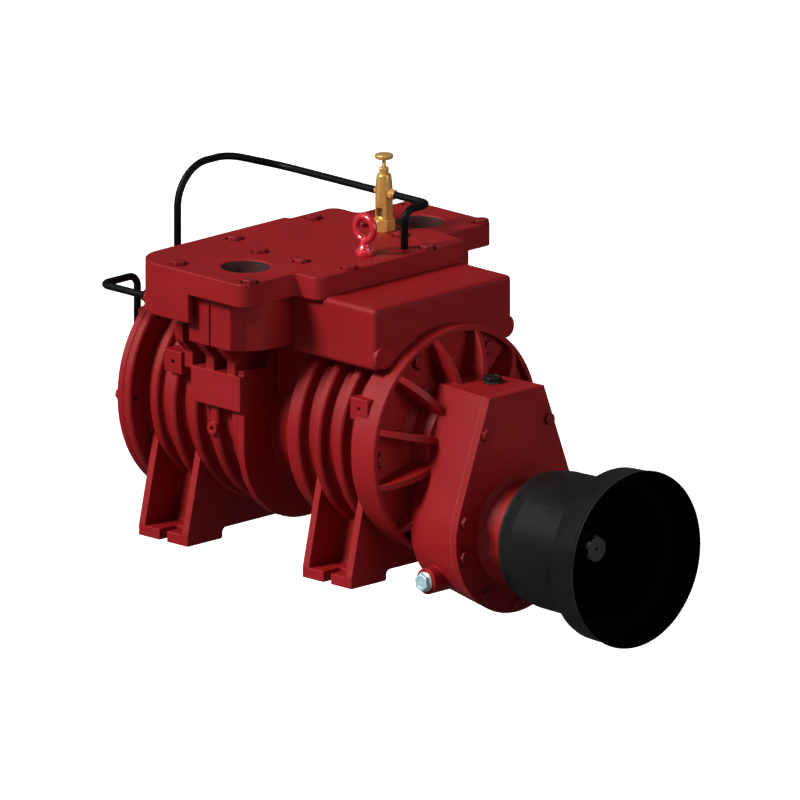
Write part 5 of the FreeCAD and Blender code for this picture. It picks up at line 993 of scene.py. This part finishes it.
# %% Drain plug, filler plug and pipe nuts
DRAIN_SPOT = (270, -100.5, 20)
FILLER_SPOT = (272, 12, 247)
FLANK_NUT_SPOT = (-146, -152, 305)
COVER_NUT_SPOT = (REAR_COVER_FACE, -90, 230)
drain_blank = lathe([(0, 1.4), (10.4, 1.4), (11, 1.8), (11, 6.6), (9, 7.7), (6.6, 7.7), (6.2, 7.2), (0, 7.2)])
drain_flange = lathe([(0, 0), (11.5, 0), (11.9, 0.4), (11.9, 1.3), (11.3, 1.8), (0, 1.8)])
drain_shank = lathe([(0, -23), (7, -23), (8, -22), (8, 0.1), (0, 0.1)], 32)
at_drain = [stand(*DRAIN_SPOT, facing=(0, -1, 0), turn=0.2)]
bench(
    "drain_plug_head", [(mill(drain_blank, 19), at_drain), (drain_flange, at_drain), (drain_shank, at_drain)],
    "zinc_steel", "casing", ["drain_plug"],
)

filler_blank = lathe([
    (0, 0.6), (10.6, 0.6), (11.7, 1.4), (11.7, 5.6), (10.6, 7.2),
    (9.2, 7.6), (8.2, 7.2), (7.8, 6.2), (0, 6.2),
])
filler_flange = lathe([(0, 0), (11.6, 0), (12, 0.5), (11.8, 1.4), (0, 1.6)])
filler_shank = lathe([(0, -14), (7, -14), (8, -13), (8, 0.1), (0, 0.1)], 32)
at_filler = [stand(*FILLER_SPOT, facing=UPRIGHT, turn=0.35)]
bench(
    "filler_plug_cap",
    [(mill(filler_blank, 20.6), at_filler), (filler_flange, at_filler), (filler_shank, at_filler)],
    "black_plastic", "casing", ["filler_plug"],
)

pipe_nut = lathe([
    (4.6, 0), (6.8, 0), (8.1, 0.8), (8.1, 7.2), (6.9, 8), (5.4, 8), (5.2, 10), (4.6, 10), (4.6, 0),
])
nut_places = [stand(*FLANK_NUT_SPOT, facing=BACKWARD), stand(*COVER_NUT_SPOT, facing=BACKWARD, turn=0.3)]
bench("pipe_union_nuts", [(mill(pipe_nut, 14), nut_places)], "black_pipe", "casing", ["pipe_fittings"])

# %% [markdown]
# ## The shaft guard
# The guard is a moulded bell round the tractor shaft: a narrow foot ring, a shoulder, a
# drum that widens slowly, and a wide mouth with a thin lip. On each flank lies a curved
# door panel that stands a little proud, where a hand reaches the coupling. All is turned
# from one outline of its wall. The panels come from a short outline turned through a
# little more than a quarter.

# %% Shaft guard
GUARD_SEAT = 372
FOOT_OUTSIDE = [(41, 0), (79, 0), (79.8, 0.6), (79.8, 2.6), (79.2, 3.2), (80.2, 8), (84, 22)]
DRUM_OUTSIDE = [(84.6, 26), (85.6, 70), (87.4, 112), (88.4, 113.6)]
MOUTH_OUTSIDE = [(103.6, 114.6), (105.4, 115.6), (106, 117.4), (107.3, 148), (108.3, 153.6)]
LIP = [(109, 155), (108.8, 156), (107.8, 156), (106.6, 154.6)]
MOUTH_INSIDE = [(104.6, 148), (102.6, 119), (101.4, 117.6), (86, 117), (84.4, 115.6)]
DRUM_INSIDE = [(83.4, 112), (82, 70), (81, 26), (80, 22), (76.4, 8), (75, 3.4), (41, 3.4), (41, 0)]
GUARD_WALL = FOOT_OUTSIDE + DRUM_OUTSIDE + MOUTH_OUTSIDE + LIP + MOUTH_INSIDE + DRUM_INSIDE
PANEL_WALL = [(83.5, 28), (86.4, 28), (86.9, 28.5), (88.9, 110.6), (88.4, 111.2), (84.5, 111.2), (83.5, 28)]
PANEL_REACH = 96
PANEL_MIDDLES = (-86, 86)


def door_panel(middle, reach):
    """A panel whose middle stands at an angle round the shaft, both in degrees."""
    panel = lathe(PANEL_WALL, 40, math.radians(reach))
    first = Matrix.Rotation(math.radians(middle - reach / 2), 3, "Z")
    bmesh.ops.rotate(panel, verts=panel.verts, matrix=first)
    return panel


lay_down = Matrix(((0, 0, 1), (0, 1, 0), (-1, 0, 0))).to_4x4()
along_shaft = [Matrix.Translation(Vector((GUARD_SEAT, 0, PTO_Z)) * MM) @ lay_down]
guard_shells = [(lathe(GUARD_WALL, 128), along_shaft)]
guard_shells += [(door_panel(middle, PANEL_REACH), along_shaft) for middle in PANEL_MIDDLES]
guard = bench("guard_bell", guard_shells, "black_plastic", "casing", ["pto_guard"])

# %% [markdown]
# ## The dark inside of the guard
# No daylight reaches into the bell, so in the photograph its inside is a flat black, while
# the outside keeps a soft shine. Both are one moulding. So the faces that look at the
# shaft, and the step and the bottom that look out of the mouth, get the second material.

# %% Dark inside of the guard
STEP_RADIUS = 102.5 * MM
LIP_PLANE = 500 * MM
# The second material is painted shade: near black where no daylight reaches.
guard.data.materials.append(guard_inside_shade)
for face in guard.data.polygons:
    arm = Vector((0, face.center.y, face.center.z - PTO_Z * MM))
    looks_out = face.normal.x > 0.9 and arm.length < STEP_RADIUS and face.center.x < LIP_PLANE
    looks_in = face.normal.dot(arm.normalized()) < -0.3
    face.material_index = int(looks_out or looks_in)
print("faces of the dark inside", sum(face.material_index for face in guard.data.polygons))

# %% [markdown]
# ## The floor
# The photograph stands on plain white with no shadow. A white sheet far below the pump
# gives the white. It is kept out of the pump's reflections and bounce light, because a
# white floor greys the shade of a dark red casting.

# %% Floor
FLOOR_HEIGHT = -1.6
FLOOR_REACH = 16


def pale_floor(height, reach):
    mesh = bmesh.new()
    level = Matrix.Translation((0, 0, height))
    bmesh.ops.create_grid(mesh, x_segments=8, y_segments=8, size=reach, matrix=level)
    data = bpy.data.meshes.new("studio_floor")
    mesh.to_mesh(data)
    mesh.free()
    floor = bpy.data.objects.new("studio_floor", data)
    bpy.context.collection.objects.link(floor)
    sheet = Finish("floor_paper", Roughness=0.9, Emission_Strength=0.8)
    cloud = sheet.noise(0.7, 2.0).spread(0.3, 0.7)
    colour = sheet.blend(cloud, (0.88, 0.88, 0.88), (0.92, 0.92, 0.92))
    data.materials.append(sheet.surface(Base_Color=colour, Emission_Color=colour))
    floor.visible_diffuse = False
    floor.visible_glossy = False
    return floor


floor = pale_floor(FLOOR_HEIGHT, FLOOR_REACH)
print(floor.name, "at", FLOOR_HEIGHT)

# %% [markdown]
# ## The lights
# The pump is lit broadly from the left, and its shaded faces are nearly black. One wide
# soft sun from the near left lights the near flank and the tops alike and leaves the front
# faces in shade, and a weak sun from the right keeps those from going black. Three weak
# panels give the brass, the eye and the black guard something to shine with.

# %% Lights
LIT_SPOT = Vector((0.1, 0, 0.2))


def aimed(name, lamp, spot):
    light = bpy.data.objects.new(name, lamp)
    heading = LIT_SPOT - Vector(spot)
    light.matrix_world = Matrix.Translation(spot) @ heading.to_track_quat("-Z", "Y").to_matrix().to_4x4()
    bpy.context.collection.objects.link(light)
    return light


def soft_sun(name, spot, strength, softness):
    lamp = bpy.data.lights.new(name, "SUN")
    lamp.energy = strength
    lamp.angle = softness
    return aimed(name, lamp, spot)


def soft_panel(name, spot, size, watts):
    lamp = bpy.data.lights.new(name, "AREA")
    lamp.shape = "SQUARE"
    lamp.size = size
    lamp.energy = watts
    return aimed(name, lamp, spot)


lights = [
    soft_sun("near_left_sun", (-1.0, -2.9, 2.7), strength=4.0, softness=0.3),
    soft_sun("right_sun", (3.0, 0.5, 0.9), strength=0.75, softness=0.5),
    soft_panel("left_panel", (-1.6, -2.2, 1.2), size=1.2, watts=8),
    soft_panel("front_panel", (2.6, -0.4, 1.8), size=1.2, watts=6),
    soft_panel("low_panel", (0.9, -1.6, -0.9), size=1.2, watts=4),
]
world = bpy.data.worlds.new("studio_air")
bpy.context.scene.world = world
world.use_nodes = True
air = world.node_tree.nodes["Background"]
air.inputs["Color"].default_value = (1, 1, 1, 1)
air.inputs["Strength"].default_value = 0.1
bpy.context.scene.view_settings.view_transform = "Standard"
print("lights", [(light.name, light.data.energy) for light in lights])
